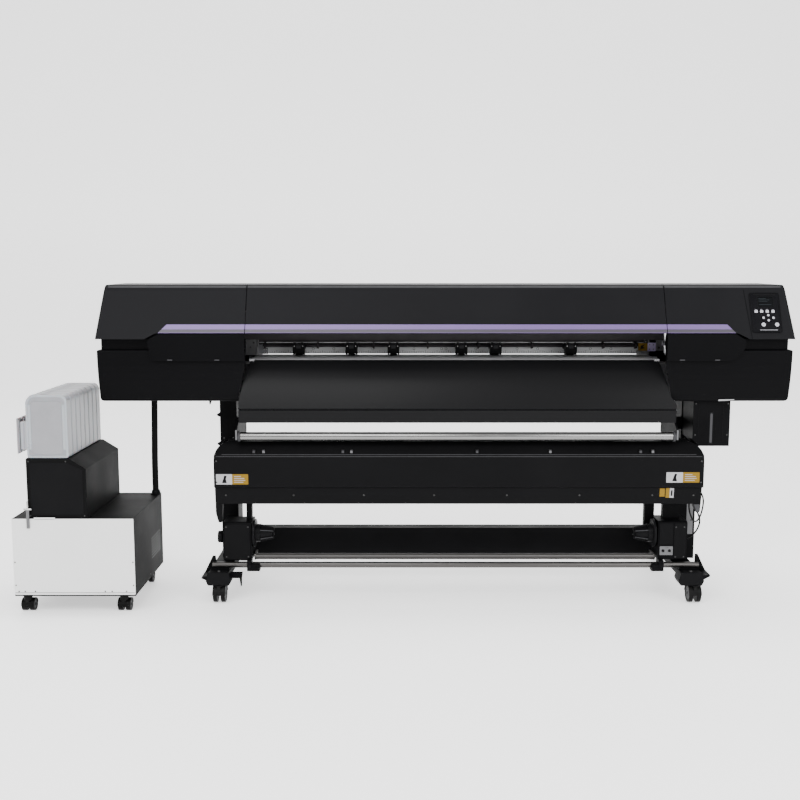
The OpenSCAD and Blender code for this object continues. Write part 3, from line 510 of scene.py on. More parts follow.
# Aprons: smooth curved sheets, each with its outer line in (Y, Z) and a straight tail
APRON_FRONT = [(-165, 1006), (-196, 999), (-224, 977), (-250, 940), (-272, 895), (-289, 850), (-299.6, 818)]
APRON_REAR = [(48, 1006), (120, 1005), (188, 998), (234, 975), (267, 930), (288, 870), (299.6, 812)]
APRON_BRACE = [(60, 872), (274, 872), (262, 905), (246, 935), (60, 935)]
APRON_THICK = 2.8


def front_edges(z):
    """Both ends in X of the front apron at height z: it widens downwards."""
    t = min(max((z - 862) / 138, 0), 1)
    u = min(max((862 - z) / 24, 0), 1)
    return -836 - 2 * u + (L + 5.3 + 836) * t, 924 + 19 * u + (R - 5.3 - 924) * t


def rear_edges(z):
    return L + 5.3, R - 5.3


def apron(name, node, points, tail, side, edges):
    """side is 1 for a sheet that faces the front and -1 for one that faces the rear."""
    bm = bmesh.new()
    outer = [(p.x, p.y) for p in smooth_path([(a, b, 0) for a, b in points], 6)] + tail
    rows = []
    for i, (y, z) in enumerate(outer):
        (y0, z0), (y1, z1) = outer[max(i - 1, 0)], outer[min(i + 1, len(outer) - 1)]
        k = side * APRON_THICK / math.hypot(y1 - y0, z1 - z0)
        yi, zi = y - (z1 - z0) * k, z + (y1 - y0) * k
        xa, xb = edges(z)
        rows.append([bm.verts.new(at(*p)) for p in ((xa, y, z), (xb, y, z), (xb, yi, zi), (xa, yi, zi))])
    join_rings(bm, rows)
    bm.faces.new(rows[0])
    bm.faces.new(rows[-1][::-1])
    for x in (-700, -20, 760):
        add_prism(bm, [(-side * y * MM, z * MM) for y, z in APRON_BRACE], "x", px(x), px(x + 4))
    obj = finish_mesh(name, bm, "apron", 0.5, 30)
    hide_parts(node)


apron("apron_front", "front_apron", APRON_FRONT, [(-300, 815), (-300, 811), (-298.8, 800), (-292, 759)], 1,
      front_edges)
apron("apron_rear", "rear_apron", APRON_REAR, [(300, 808), (300, 760)], -1, rear_edges)
# Light grey strip along the apron's crease: the crease is real, its light colour is a painted highlight.
run_x("apron_crease_highlight", -838, 943, [(-299.4, 815.6), (-300, 814.9), (-300, 811.4), (-299.4, 810.7)], "grey_plastic",
      0.1)
screws("apron_screws", grid((-770, -500, -150, 180, 520, 860), -160, 1006.2), "z", 1, 4)

# Dryer
DRY_Y = lo("dryer_housing")[1] / MM
run_x("dryer_groove", -935, 1056, [(DRY_Y - 0.3, 618), (DRY_Y + 1.4, 618), (DRY_Y + 1.4, 620), (DRY_Y - 0.3, 620)],
      "grey_hub", 0.2)
# Grey line on the dryer's top ledge edge: a painted highlight.
run_x("dryer_ledge_highlight", -912, 1033, [(-288.2, 625.8), (-286.6, 627.8), (-285.2, 627.2), (-287.2, 624.8)], "grey_hub",
      0.2)
run_x("dryer_lower_trim", -943, 1064,
      [(DRY_Y - 0.4, 494), (DRY_Y - 0.4, 496.5), (DRY_Y + 1, 496.5), (DRY_Y + 1, 494)], "pinch", 0.2)
for k, x in enumerate((-780, -740, -415, -380, 135, 435, 805, 855)):
    run_x(f"dryer_hook_{k}", x - 5, x + 5, [(-286.5, 633), (-285.5, 642), (-282, 646), (-277, 646.4), (-277, 633)],
          "ledge" if k % 2 else "grey_hub", 0.8)
run_y("dryer_skirts_l", -269, -267.4, [(-942, 415), (-942, 380), (-932, 341), (-921, 341), (-917, 415)], "dryer",
      "dryer_black", 0.3)
run_y("dryer_skirts_r", -269, -267.4, [(1034, 415), (1048, 381), (1060, 387), (1061, 415)], "grey_hub",
      "dryer_black", 0.3)
screws("dryer_bolts", grid((-900, -620, -330, -40, 260, 560, 860, 1030), -274.6, 455), "y", -1, 4.2)
screws("dryer_end_screws", grid((-934, 1055), DRY_Y, (512, 600)), "y", -1, 3.6)

# Generic labels, shapes only
for k, (x0, z0, w) in enumerate(((-936, 503, 132), (912, 511, 136))):
    run_y(f"label_white_{k}", DRY_Y - 0.5, DRY_Y + 0.2, rect(x0, x0 + w * 0.5, z0, z0 + 43, 2), "label_white",
          width=0.1)
    run_y(f"label_amber_{k}", DRY_Y - 0.5, DRY_Y + 0.2, rect(x0 + w * 0.5, x0 + w, z0, z0 + 43, 2), "label_amber",
          width=0.1)
    run_y(f"label_figure_{k}", DRY_Y - 0.7, DRY_Y - 0.3, [(x0 + 24, z0 + 6), (x0 + 44, z0 + 6), (x0 + 40, z0 + 22),
                                                  (x0 + 44, z0 + 36), (x0 + 34, z0 + 37), (x0 + 30, z0 + 24)],
          "pinch", width=0.1)
    blocks(f"label_lines_{k}", [(x0 + w * 0.5 + 8, x0 + w - d, DRY_Y - 0.7, DRY_Y - 0.3, z0 + h, z0 + h + 3)
                                for h, d in ((8, 20), (16, 12), (24, 16), (32, 30))], "grey_plastic", width=0.1)


def on_band(z0, z1, out0, out1):
    """Outline on the leaning lower band, from out1 to out0 outside it."""
    return [(-278 + (486 - z) * 8 / 70 - d, z) for z, d in ((z0, out0), (z1, out0), (z1, out1), (z0, out1))]


run_x("label_small", 890, 911, on_band(449, 484, 0.9, -0.3), "label_amber", width=0.1)
run_x("label_tall_a", 915, 931, on_band(444, 485, 0.9, -0.3), "label_amber", width=0.1)
run_x("label_tall_b", 931.3, 948, on_band(444, 485, 0.9, -0.3), "label_white", width=0.1)
run_x("label_tall_mark", 936, 943, on_band(452, 476, 1.2, 0.6), "pinch", width=0.1)

# Ink cases: cloudy shells with a handle on the left
CASE_Y0 = lo("ink_cases")[1] / MM + 26
CASE_STEP = 57
CASE_SIDE = [(-173, 636), (-8, 636), (-8, 872), (-22, 889), (-153, 889), (-173, 866)]


def soften(points, r, n):
    """Outline with its corners rounded by r, in n steps."""
    out = []
    m = len(points)
    for i in range(m):
        a, c, b = Vector(points[i - 1]), Vector(points[i]), Vector(points[(i + 1) % m])
        u, v = (a - c), (b - c)
        s = min(r, u.length * 0.45, v.length * 0.45)
        u, v = u.normalized() * s, v.normalized() * s
        for k in range(n + 1):
            t = k / n
            q = c + u * (1 - t) ** 2 + v * t * t
            out.append((q.x, q.y))
    return out


def inset(points, d):
    """Outline moved towards its middle by d on every side."""
    xs, zs = [p[0] for p in points], [p[1] for p in points]
    cx, cz = (min(xs) + max(xs)) / 2, (min(zs) + max(zs)) / 2
    wx, wz = max(xs) - cx, max(zs) - cz
    return [(cx + (x - cx) * (wx - d) / wx, cz + (z - cz) * (wz - d) / wz) for x, z in points]


shell = soften(CASE_SIDE, 12, 5)
rim, well = inset(shell, 1.0), inset(shell, 9.0)
where = (CART_X, "ink_cases")
cases = []
for k in range(8):
    y = CASE_Y0 + CASE_STEP * k
    bm = bmesh.new()
    for y0, y1 in ((y - 26, y - 24.6), (y + 24.6, y + 26)):
        join_rings(bm, [[bm.verts.new((CART_X + x * MM, along * MM, z * MM)) for x, z in line]
                        for line, along in ((rim, y0), (well, y0), (well, y1), (rim, y1))], closed=True)
    cases += [
        run_y(f"case_shell_{k}", y - 25, y + 25, shell, "ink", "case_clear", 3.5, *where),
        finish_mesh(f"case_rim_{k}", bm, "ink_rim", 0.4, 40, "ink_cases"),
        blocks(f"case_ribs_{k}", [(-163, -153, y - 26, y - 24, 670, 850), (-28, -18, y - 26, y - 24, 670, 850),
                                  (-149, -30, y - 5, y + 5, 886, 889), (-120, -88, y - 17, y + 17, 885, 889)],
               "ink_rim", "case_clear", 0.6, *where),
        run_y(f"case_panel_{k}", y - 25.6, y - 24.5, rect(-151, -30, 652, 862, 8), "ink_shade", "case_clear", 0.3,
              *where),
        blocks(f"case_flange_{k}", [(-213, -206, y - 20, y + 20, 653, 795)], "ink", "case_clear", 2.0, *where),
        blocks(f"case_neck_{k}", [(-207, -171, y - 13, y + 13, 668, 780), (-206, -201, y - 17, y + 17, 660, 788)],
               "ink_rim", "case_clear", 2.0, *where),
        blocks(f"case_gap_{k}", [(-203, -199.5, y - 17.6, y + 17.6, 664, 791)], "ledge", "case_clear", 0.4, *where),
        blocks(f"case_key_{k}", [(-208, -199, y - 14, y + 14, 716, 732),
                                 (-190, -184, y - 13.6, y + 13.6, 672, 776)], "ink_bag", "case_clear", 0.8, *where),
        run_y(f"case_port_{k}", y - 10, y + 10, rect(-94, -74, 621, 637, 3), "ink_rim", "case_clear", 0.5, *where)]
for piece in cases:
    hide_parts("ink_cases")

# Pinch rail and opening
RAIL_Y = 50
run_x("rail_face", L + 26.5, R - 22.5,
      [(RAIL_Y - 0.8, 1016), (RAIL_Y - 0.8, 1046), (RAIL_Y + 0.3, 1046), (RAIL_Y + 0.3, 1016)], "white_rail",
      0.3)
run_x("rail_lip", L + 26.5, R - 22.5,
      [(RAIL_Y - 3.2, 1014.6), (RAIL_Y - 3.2, 1017), (RAIL_Y, 1017), (RAIL_Y, 1014.6)], "alu", 0.4)
blocks("rail_ticks", [(x, x + 1.6, RAIL_Y - 1.0, RAIL_Y - 0.6, 1019, 1019 + (10 if k % 5 == 0 else 6))
                      for k, x in enumerate(range(-770, 866, 10))], "grey_plastic", "aluminium", 0.0)
lathe("rail_holes", [(0, 0), (4.2, 0), (4.6, 0.5), (5.4, 0.5), (5.4, 0)], "y",
      [(at(x, RAIL_Y - 0.7, 1036), -1) for x in (-640, -560, -470, -300, -120, 0, 20, 150, 330, 420, 650, 740)],
      "screw", 24)
blocks("opening_brackets", [(-849, -801, -6, -3, 1012, 1080), (-846, -842, -14, -6, 1020, 1074),
                            (922, 963, -6, -3, 1031, 1078), (925, 929, -14, -6, 1036, 1072)], "chassis",
       "frame_steel", 0.8)
screws("opening_screws", [(x, -6, z) for x, z in ((-826, 1046), (-812, 1066), (936, 1044), (952, 1066))], "y", -1,
       4)
blocks("rail_end_brackets", [(-800, -779, 40, 49.2, 1013, 1055), (-779, -757, 40, 49.2, 1013.5, 1040),
                             (852, 871, 40, 49.2, 1013.5, 1030), (871, 889, 40, 49.2, 1013, 1055)], "grey_plastic",
       "frame_steel", 0.8)
screws("rail_end_screws", grid((-773, -763, 857, 866), 40, (1020, 1033)), "y", -1, 2.8, "screw_zinc")
blocks("rail_end_plate", [(887, 922, -6, -3, 1029, 1066)], "lilac_plate", "aluminium", 0.6)
screws("rail_end_holes", grid((896, 912), -6, (1038, 1057)), "y", -1, 2.4)
blocks("rail_end_arm", [(847, 886.5, -5.6, -3.4, 1031, 1064)], "label_amber", "aluminium")
run_y("rail_end_arrow", -6.0, -5.4, [(856, 1038), (878, 1043), (866, 1048), (876, 1059), (858, 1053)], "pinch",
      "aluminium", 0.1)
blocks("opening_clips", [(-806, -786, -186, -168, 1000.5, 1010), (875, 895, -186, -168, 1000.5, 1010)],
       "label_white", "apron_coat", 0.8)
run_x("platen_edge", L + 6, R - 6, [(-165.4, 1007.4), (-165.2, 1009.2), (-163.6, 1010.8), (-163, 1009.2)], "ledge",
      0.2)
run_x("upper_line", L + 10, R - 10, [(58.6, 1061), (58.6, 1064.6), (60.2, 1064.6), (60.2, 1061)], "white_rail",
      0.3)
blocks("platen_slots", [(x, x + 34, -70, -66, 1011.8, 1012.15) for x in range(-760, 850, 70)], "screw", "aluminium",
       0.0)
for k, x in enumerate((-615, -389, -209, 83, 229, 551)):
    blocks(f"pinch_cap_{k}", [(x - 24.5, x - 22.5, -46, -10, 1043, 1062.4),
                              (x + 22.5, x + 24.5, -46, -10, 1043, 1062.4),
                              (x - 10, x + 10, -48.2, -46.8, 1044, 1058)], "pinch_edge", "carriage_plastic",
           body="pinch_arms")
    screws(f"pinch_screws_{k}", [(x - 18, -47, 1054), (x + 18, -47, 1054)], "y", -1, 2.6,
           "screw_zinc", body="pinch_arms")

# Guide bar ends
lathe("guide_bar_collars", [(17.6, 0), (21, 0.6), (21.5, 1.4), (21.5, 9), (20.5, 10), (17.4, 10)], "x",
      [((px(x), *mid("guide_bar").yz), sign) for x, sign in ((-844, 1), (945, -1))], "grey_hub")
for k, (x, s) in enumerate(((-852, -1), (945, 1))):
    run_x(f"bar_plate_edge_{k}", x + 0.6, x + 7.4, [(-302.6, 690), (-302.6, 730), (-301.8, 730.6), (-301.8, 690)],
          "ledge", 0.2)
    places = ((-120, 748), (-120, 700), (-230, 748), (-180, 720))
    screws(f"bar_plate_screws_{k}", [(x + 4 + 4 * s, y, z) for y, z in places], "x", s, 4.5)

# Legs and feet
for k, (leg, foot, s) in enumerate(((-917, -934, -1), (1062, 1027, 1))):
    screws(f"leg_screws_{k}", grid(leg + s * 36, (-50, 30), (180, 210, 800, 830)), "x", s, 6)
    screws(f"leg_front_screws_{k}", grid((leg - 20, leg + 20), -70, (300, 380, 620, 660)), "y", -1, 4.5)
    run_y(f"foot_cap_{k}", -303.2, -301.8,
          [(foot + x, z) for x, z in ((-43, 80), (43, 80), (51, 98), (41, 132), (-41, 132), (-51, 98))], "pinch",
          "stand_black", 0.4)
    screws(f"foot_bolts_{k}", grid(foot, (-285, -160, 120, 300, 400), 134), "z", 1, 7)
screws("beam_screws", grid((-850, -830, 980, 1000), -40, (165, 235)), "y", -1, 5)

# Casters: hoods and hub caps, in metres
CART_WHEEL = 25 * MM


def hood(name, body, x0, x1, y, z, r0, r1, trail):
    """Half ring over a wheel; trail is 1 where the wheel is in front of its fork and -1 behind."""
    arc = [math.radians(a) for a in range(0, 181, 10)]
    outline = [(y + trail * r * math.cos(a), z + r * math.sin(a))
               for r, line in ((r1, arc), (r0, arc[::-1])) for a in line]
    prism(name, outline, "x", x0, x1, "caster", 0.3, body)


def hub(name, body, x0, x1, y, z, r):
    """Cap of radius r, in mm, on both sides of a wheel."""
    lathe(name, [(0, 2.4), (r * 0.35, 2.4), (r * 0.45, 1.2), (r * 0.8, 0.9), (r * 0.95, 1.9), (r, 0.2), (r, -2)], "x",
          [((x0, y, z), -1), ((x1, y, z), 1)], "grey_hub", 40, body=body)


for tag in ("fl", "fr", "rl", "rr"):
    trail = 1 if tag[0] == "f" else -1
    fork, wheel, caster = "fork_" + tag, "wheel_" + tag, "cart_caster_" + tag
    w0, w1, c = lo(wheel), hi(wheel), mid(wheel)
    rad = (w1.z - w0.z) / 2
    hood(f"hood_{tag}", fork, w0.x - 1.5 * MM, w1.x + 1.5 * MM, c.y, c.z, rad + 0.7 * MM, rad + 2.2 * MM, trail)
    hub(f"hub_{tag}", wheel, w0.x + 3 * MM, w1.x - 3 * MM, c.y, c.z, rad / MM - 9.6)
    x = mid(caster).x
    y = lo(caster).y + CART_WHEEL if trail < 0 else hi(caster).y - CART_WHEEL
    hood(f"cart_hood_{tag}", caster, x - 26.4 * MM, x + 26.4 * MM, y, CART_WHEEL, 25.8 * MM, 27.4 * MM, trail)
    hub(f"cart_hub_{tag}", caster, x - 22.8 * MM, x + 22.8 * MM, y, CART_WHEEL, 16.5)

# Control panel
PANEL_X, PANEL_Z = 1297.5, 1205


def on_panel(name, outlines, lift0, lift1, mat, width=0.15, body=ROOT):
    """Flat shapes on the panel, from the panel's centre."""
    return decal(name, outlines, PANEL_X, PANEL_Z, lift0, lift1, mat, width, body)


def panel_ring(name, u, v, w, h, r, wide, lift0, lift1, mat):
    """Frame around a w by h rectangle with its centre at u, v and corners of radius r."""
    bm = bmesh.new()
    w, h = w / 2, h / 2
    outer = rect(u - w, u + w, v - h, v + h, r)
    inner = rect(u - w + wide, u + w - wide, v - h + wide, v + h - wide, max(r - wide, 0.6))
    join_rings(bm, [[bm.verts.new((a * MM, b * MM, lift * MM)) for a, b in line] for line, lift in
                    ((outer, lift0), (inner, lift0), (inner, lift1), (outer, lift1))], closed=True)
    bmesh.ops.transform(bm, matrix=on_face(PANEL_X, PANEL_Z), verts=bm.verts)
    finish_mesh(name, bm, mat, 0.2, 40)


panel_ring("panel_border", 0, 0, 118, 168, 9, 2.0, 3.6, 4.5, "base")
panel_ring("panel_inner_border", 2, -6, 104, 146, 16, 1.4, 3.6, 4.5, "base")
panel_ring("lcd_bezel", 2.5, 45.7, 66, 50, 4, 2.0, 2.4, 4.8, "pinch")
on_panel("panel_brow", [rect(-44, 46, 75, 80, 2)], 3.6, 4.6, "pinch", 0.4)
on_panel("panel_foot_line", [rect(-30, 42, -76, -74, 0.9)], 3.6, 4.3, "grey_plastic")
on_panel("lcd_lines", [rect(-24, -24 + w, v, v + 1.6) for v, w in ((60, 30), (54, 44), (48, 36), (34, 50))], 3.1, 3.3,
         "lcd_ink")
on_panel("panel_seam", [[(x - PANEL_X, (z - PANEL_Z) * SLOPE_LEN) for x, z in
                         ((1233, 1102), (1236.5, 1102), (1218.5, 1298), (1215, 1298))]], -0.6, 0.12, "base",
         0.0)
for k, u in enumerate((-38.5, -16.5, 6.5, 29.5)):
    on_panel(f"key_mark_{k + 1}", [rect(u - 3.2, u + 3.2, 2.9, 4.0), rect(u - 3.2, u + 1.2, 5.0, 6.1)], 5.0, 5.35,
             "grey_plastic", body=f"key_{k + 1}")
    on_panel(f"key_caption_{k}", [rect(u - 4, u + 4, 12.6, 13.4)], 3.9, 4.12, "key")
nav = [(8.5, -12, 90), (8.5, -34, -90), (-11.5, -23, 180), (28.5, -23, 0)]
arrows = [[(u + 2.2 * math.cos(math.radians(turn + a)), v + 2.2 * math.sin(math.radians(turn + a)))
           for a in (0, 130, 230)] for u, v, turn in nav]
on_panel("nav_dots", [circle(u, v, 4.6, 28) for u, v, turn in nav], 5.0, 5.6, "key", body="nav_pad")
on_panel("nav_arrows", arrows, 5.5, 5.75, "grey_plastic", body="nav_pad")
on_panel("enter_mark", [circle(-13.5, -52, 3.2, 24)], 5.0, 5.35, "grey_plastic", body="key_enter")
on_panel("end_mark", [rect(38.2, 42.8, -54.3, -49.7, 0.5)], 5.0, 5.35, "grey_plastic", body="key_end")

# Doors and housings: small marks, clips and the waste window
for side, places in (("left", (-1120, -930)), ("right", (948, 1090))):
    for k, x in enumerate(places):
        blocks(f"door_pull_{side}_{k}", [(x, x + 20, -303.4, -302.6, 1014.5, 1018.5)], "grey_hub", "base_plastic",
               0.4, body=f"{side}_door")
run_y("waste_flap", -268, -262, [(1120, 845.5), (1152, 847), (1184, 849.5), (1184, 853), (1122, 851.5)],
      "label_white", "base_plastic", 0.4)
run_y("base_hook", -200, -188, [(-962, 844), (-974, 844), (-973, 826), (-970, 822), (-966, 832)], "pinch",
      "base_plastic", 0.4)
for k, z in enumerate((772, 646)):
    run_y(f"leg_clip_{k}", -66, -52, [(-952, z), (-952, z - 18), (-957, z - 20), (-968, z - 13), (-966, z - 8)],
          "pinch", "stand_black", 0.6)
run_y("waste_window_frame", -233.0, -231.6, rect(1096, 1114, 662, 795), "pinch",
      "holder_black", 0.4)
run_y("waste_window", -233.6, -232.6, rect(1100, 1110, 667, 790, 4), "grey_hub", "tank_grey", 0.3)
for side, x, z in (("l", 1050, 700), ("r", 1150, 662)):
    run_y(f"waste_rib_{side}", -233.0, -231.8, rect(x, x + 3, z, 840), "dryer", "holder_black", 0.4)
screws("waste_screws", grid((1040, 1172), -232, (700, 830)), "y", -1, 3.2)

# Take-up: blocks, knobs and cones
for side, outline in (("l", rect(-916, -808, 173, 322, 12)), ("r", rect(965, 1014, 178, 328, 10)),
                      ("r2", rect(904, 961, 236, 328, 8))):
    run_y(f"takeup_cover_{side}", -242.5, -239.6, outline, "dryer", "stand_black", 1.0)
lathe("takeup_knobs", [(0, 0), (6, 0), (6, 3), (4.6, 3.6), (4.4, 9), (3.6, 9.8), (0, 9.8)], "y",
      [(at(x, -241.5, 211), -1) for x in (920, 947)], "pinch", 32)
run_y("takeup_plate", -243.8, -242.8, rect(906, 961, 192, 230, 3), "ledge", "stand_black", 0.3)
lathe("takeup_handwheel",
      [(0, 0), (9, 0), (9, 7), (24, 8), (25, 9.2), (25, 26), (23.5, 28), (15, 28), (14, 26), (0, 26)], "x",
      [(at(-921, -190, 258), -1)], "pinch")
lathe("takeup_side_knob", [(0, 0), (9, 0), (9, 6), (8, 8), (0, 8)], "x", [(at(-921, -190, 192), -1)], "grey_plastic",
      32)
blocks("takeup_lamps", [(930, 934, -243.8, -242.8, 222, 226), (937, 941, -243.8, -242.8, 222, 226)], "label_amber",
       "stand_black", 0.3)
screws("takeup_screws", grid((-908, -816, 972, 1007), -242.5, (184, 312)), "y", -1, 3.6)
blocks("column_strip_right", [(1062, 1090, -71.4, -69.8, 238, 400)], "chassis", "stand_black")
screws("clamp_knobs", [(-811, -264, 150), (909, -264, 150)], "y", -1, 8.5, "pinch")
for side, x, s in (("left", -797, 1), ("right", 889, -1)):
    c = Vector((px(x), *mid("core_holders").yz))
    ring = bmesh.new()
    add_lathe(ring, [(46, 8.6), (46, 10.2), (44, 11), (40, 10.8), (39, 8.6)], "x", c, s, 64)
    add_lathe(ring, [(0, 76), (11, 76), (13, 78), (12, 83.6), (6, 84), (0, 84)], "x", c, s, 40)
    finish_mesh(f"core_ring_{side}", ring, "pinch", 0, 40, "core_holders")
    # Light grey ribs along each cone: painted highlights on the holder's fins.
    ribs = bmesh.new()
    for i in range(6):
        turn = Matrix.Translation(c) @ Matrix.Rotation(math.radians(60 * i), 4, "X")
        add_prism(ribs, [(s * a * MM, b * MM) for a, b in ((30, 36.2), (30, 37.5), (83, 26.4), (83, 25.0))], "y",
                  -1.6 * MM, 1.6 * MM, turn)
    finish_mesh(f"core_rib_highlights_{side}", ribs, "grey_hub", 0.3, 40, "core_holders")

# Ink hose and take-up cables
HOSE = [at(-1246, -10, 858), at(-1247, -9, 790), at(-1251, -2, 680), at(-1256, 8, 560),
        (CART_X + 0.227, 0.022, 0.460), (CART_X + 0.226, 0.030, 0.393)]
hose = wire("hose_smooth", HOSE, 13.6, "sleeve", 14)
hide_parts("ink_hose")
for name, centre, sign in (("gland_top", HOSE[0], -1), ("gland_low", HOSE[-1], 1)):
    lathe(name, [(13.2, 0), (23, 0), (23, 5), (19, 6), (18, 17), (15, 20), (13.4, 20)], "z", [(centre, sign)], "pinch")
LOOP_A = [(1034, -200, 416), (1038, -196, 372), (1054, -186, 334), (1078, -160, 316), (1106, -120, 328),
          (1128, -80, 358), (1137, -50, 394), (1122, -20, 432), (1098, -10, 446)]
LOOP_B = [(1048, -170, 416), (1064, -168, 384), (1085, -166, 348), (1092, -165, 314), (1080, -164, 278),
          (1054, -164, 250), (1020, -164, 240)]
for k, loop in enumerate((LOOP_A, LOOP_B)):
    loop = [at(*p) for p in loop]
    cable = wire(f"takeup_cable_{k}", loop, 3.4, "cable", 10)
    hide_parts("takeup_cables")
    for j, (end, axis, sign) in enumerate(((loop[0], "z", -1), (loop[-1], "x", 1))):
        lathe(f"cable_boot_{k}_{j}", [(3.2, 0), (7, 0), (7, 5), (4.6, 12), (3.4, 12)], axis, [(end, sign)], "cable")

# Ink cart: front sheet and latch handle
LATCH_X, LATCH_Y = CART_X - 0.175, -0.436
sheet = [run_y("cart_sheet", -432, -430, rect(-243, 243, 82, 393, 3), "white", "cart_white", origin=CART_X),
         run_y("cart_ledge", -435, -431.4, rect(-239, 239, 82, 88, 1), "white", "cart_white", 0.4, CART_X),
         run_y("cart_ledge_line", -432.5, -431.6, rect(-239, 239, 89, 90.4), "screw", "cart_white", 0, CART_X),
         run_y("cart_tab", -432, -430, rect(-153, -69, 390, 398, 1.6), "white", "cart_white", 0.4, CART_X),
         screws("cart_screws", grid((-236, 236), -432, (120, 215)) + grid((-225, -200, -159, 122, 149, 207), -432, 95),
                "y", -1, 3, origin=CART_X),
         lathe("latch_upper", [(0, 0), (3.7, 0), (3.7, 31), (3, 33), (0, 33)], "z", [((LATCH_X, LATCH_Y, 0.433), 1)],
               "screw_zinc"),
         lathe("latch_bar", [(0, 0), (3, 0), (3.8, 1), (3.8, 31), (3, 32), (0, 32)], "x",
               [((LATCH_X - 0.016, LATCH_Y, 0.433), 1)], "screw_zinc"),
         blocks("latch_lower", [(-181, -169, -439.6, -433.2, 355, 432)], "chassis", "cart_white", 2, CART_X),
         blocks("latch_mount", [(-179, -171, -437, -431, 368, 380)], "pinch", "cart_white", 0.6, CART_X)]
for piece in sheet:
    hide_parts("cart_front_panel")

# Painted highlight along the cover's top edge; rear, sides and top
def cover_edge_highlight(name, x0, x1, body):
    # Thin grey strip on the black cover's top front edge: a painted highlight line standing for the light caught by
    # that edge.
    edge, along, out = Vector((-215, 1308.5)), Vector((0.727, 0.687)), Vector((-0.687, 0.727))
    line = [edge + along * a + out * b for a, b in ((-4, 0.4), (4, 0.4), (4, -0.4), (-4, -0.4))]
    run_x(name, x0, x1, [(p.x, p.y) for p in line], "grey_hub", 0.1, body=body)


cover_edge_highlight("edge_highlight_centre", L + 3, R - 3, "front_cover")
cover_edge_highlight("edge_highlight_left", -1372, L - 3, ROOT)
cover_edge_highlight("edge_highlight_right", R + 3, 1372, ROOT)
blocks("cover_hinges", [(x, x + 46, 12, 26, 1318.2, 1319.9) for x in (-720, -330, 60, 450, 800)], "grey_hub",
       "cover_plastic", 0.4)
blocks("rear_louvres",
       [(x + 12 * i, x + 12 * i + 4, 168.5, 171.2, 1176, 1270) for x in (-640, 330) for i in range(24)], "base",
       "cover_plastic")
screws("rear_screws", grid(range(-760, 880, 205), 171.6, 1106) + grid(range(-760, 880, 410), 168.6, 1290), "y", 1,
       4.2)
blocks("rear_seams", [(x, x + 1.2, 167, 171.9, 1100, 1300) for x in (-260, 280)], "rubber", "cover_plastic", 0)
blocks("rear_base_louvres",
       [(x, x + 150, 251.4, 252.8, 906 + 13 * i, 912 + 13 * i) for x in (-1240, 930) for i in range(9)], "pinch",
       "base_plastic")
screws("rear_base_screws", grid((-1370, -1040, -860, 915, 1110, 1370), 252, (890, 1045)), "y", 1, 4.5)
blocks("inlet_pins", [(1197, 1199.4, 255.5, 262, 899, 906), (1212, 1214.4, 255.5, 262, 899, 906),
                      (1204.8, 1207.2, 255.5, 262, 893, 900)], "screw_zinc", "base_plastic", 0.3)
for s, tag in ((-1, "l"), (1, "r")):
    blocks(f"side_louvres_{tag}",
           [(s * 1404, s * 1407.8, -130, 130, 900 + 13 * i, 906 + 13 * i) for i in range(8)], "pinch",
           "base_plastic", 0.6)
    screws(f"side_screws_{tag}", grid(s * 1405.2, (-240, 215), (880, 1035)), "x", s, 4.5)
screws("dryer_rear_screws", grid(range(-900, 1060, 240), -130, (470, 620)), "y", 1, 3.6)

# Carriage and cutter
blocks("carriage_lid", [(958, 1182, -166.4, -164.6, 1098, 1200)], "grey_hub", "carriage_plastic", 0.6,
       body="carriage")
blocks("carriage_ribs",
       [(x, x + 3, -168, -166, 1104, 1194) for x in (1012, 1064, 1116)] + [(964, 1176, -168, -166, 1148, 1151)],
       "carriage", "carriage_plastic", 0.4, body="carriage")
blocks("carriage_nozzles", [(976 + i * 52, 1004 + i * 52, -140, -76, 1015.2, 1016.4) for i in range(4)], "alu",
       "carriage_plastic", 0.3, body="carriage")
screws("carriage_screws", grid((968, 1172), -166.4, (1108, 1190)), "y", -1, 3.2, "screw_zinc",
       body="carriage")
lathe("cutter_collar", [(8, 0), (9.4, 0.6), (9.4, 7.4), (8, 8)], "z", [(at(936, -112, 1090), 1)], "screw_zinc",
      body="cutter_tool")

# Ink cart: tower and cabinet
screws("tower_screws", [(-168, -425, 404), (48, -425, 404), (-168, -425, 624), (-20, -425, 624)], "y", -1, 3.2,
       origin=CART_X)
run_y("tower_panel", -425.8, -424.8, [(-164, 408), (46, 408), (46, 588), (-12, 618), (-164, 618)], "pinch",
      "cart_black", 0.6, CART_X)
for s, tag in ((-1, "l"), (1, "r")):
    screws(f"cabinet_screws_{tag}", grid(s * 241.4, (-415, -180, 45), (92, 378)), "x", s, 3.4,
           origin=CART_X)
    blocks(f"cabinet_louvres_{tag}",
           [(s * 242, s * 243.2, -150, 10, 150 + 12 * i, 155 + 12 * i) for i in range(8)], "pinch", "cart_black", 0.4,
           CART_X)
blocks("cabinet_top_seam", [(-240, 240, -429, -427.6, 392.6, 393.5), (70, 71.4, -420, 50, 392.6, 393.3)], "pinch",
       "cart_black", 0, CART_X)
screws("cabinet_rear_screws", grid((-225, 0, 225), 60, (95, 375)), "y", 1, 3.4, origin=CART_X)
blocks("cabinet_rear_louvres", [(-120, 120, 59.4, 60.8, 180 + 14 * i, 186 + 14 * i) for i in range(8)], "pinch",
       "cart_black", 0.4, CART_X)

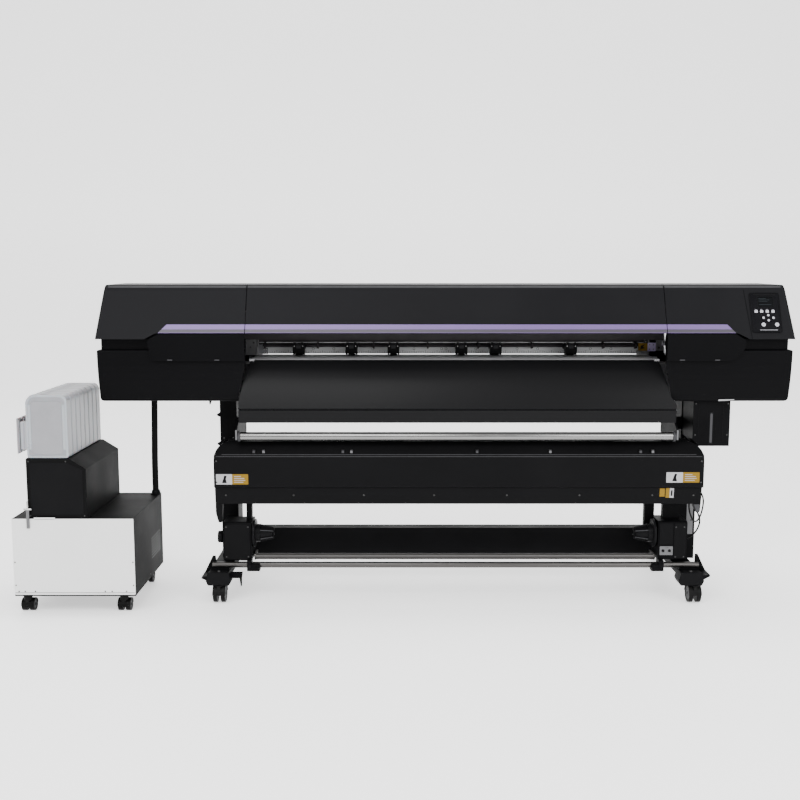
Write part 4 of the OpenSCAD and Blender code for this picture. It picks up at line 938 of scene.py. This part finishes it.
# Looks of the CAD nodes, and how far their edges are rounded
NODE_LOOK = {
    "steel_black": "leg_left leg_right cross_beam takeup_blocks waste_holder",
    "caster": "fork_fl fork_fr fork_rl fork_rr wheel_fl wheel_fr wheel_rl wheel_rr cart_caster_fl cart_caster_fr "
              "cart_caster_rl cart_caster_rr",
    "chassis": "chassis",
    "alu": "cutter_tool",
    # guide beam: its dark tone is painted shade
    "beam_painted_shade": "guide_beam",
    "platen_dark": "platen",
    "carriage": "carriage capping_station clamp_lever",
    "pinch": "pinch_arms core_holders",
    "rubber": "pinch_wheels ink_hose",
    "grit": "grit_shaft",
    "cover": "front_cover left_housing_top right_housing_top rear_cover",
    "base": "left_housing_base right_housing_base left_door right_door",
    "purple": "accent_center accent_ends",
    "gloss": "control_panel nav_pad",
    "screen": "lcd_screen",
    "key": "key_1 key_2 key_3 key_4 key_enter key_end",
    "apron": "front_apron rear_apron",
    "tank": "waste_tank",
    "bar": "guide_bar",
    "bar_dull": "slide_rail tension_bar",
    "dryer": "dryer_housing",
    "cable": "takeup_cables",
    "cart": "cart_cabinet ink_tower",
    "white": "cart_front_panel",
    "ink": "ink_cases",
}
ROUNDING = {"front_cover": 1.2, "left_housing_top": 1.5, "right_housing_top": 1.5, "left_housing_base": 1.5,
            "right_housing_base": 1.5, "left_door": 2.5, "right_door": 2.5, "leg_left": 1.5, "leg_right": 1.5,
            "takeup_blocks": 1.5, "cart_cabinet": 0.8, "ink_tower": 1.0, "cart_front_panel": 0.5}

for look, nodes in NODE_LOOK.items():
    for node in nodes.split():
        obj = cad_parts[node]
        obj.data.materials.clear()
        obj.data.materials.append(M[look])
        obj.modifiers.new("weld", "WELD").merge_threshold = 0.00001
        round_edges(obj, ROUNDING.get(node, 0.6))

add_camera()
backdrop(M["floor"])
world = bpy.data.worlds.new("studio")
bpy.context.scene.world = world
world.use_nodes = True
world.node_tree.nodes["Background"].inputs["Color"].default_value = (1, 1, 1, 1)
world.node_tree.nodes["Background"].inputs["Strength"].default_value = 1.05
area_light("key_light", (-1.6, -4.2, 4.2), (0.1, 0, 0.7), (4.0, 2.4), 260)
area_light("fill_light", (3.2, -3.6, 2.6), (0.3, 0, 0.7), (2.6, 2.6), 120)
area_light("top_light", (0, 0.6, 4.6), (0, 0, 0.6), (5.0, 2.0), 160)
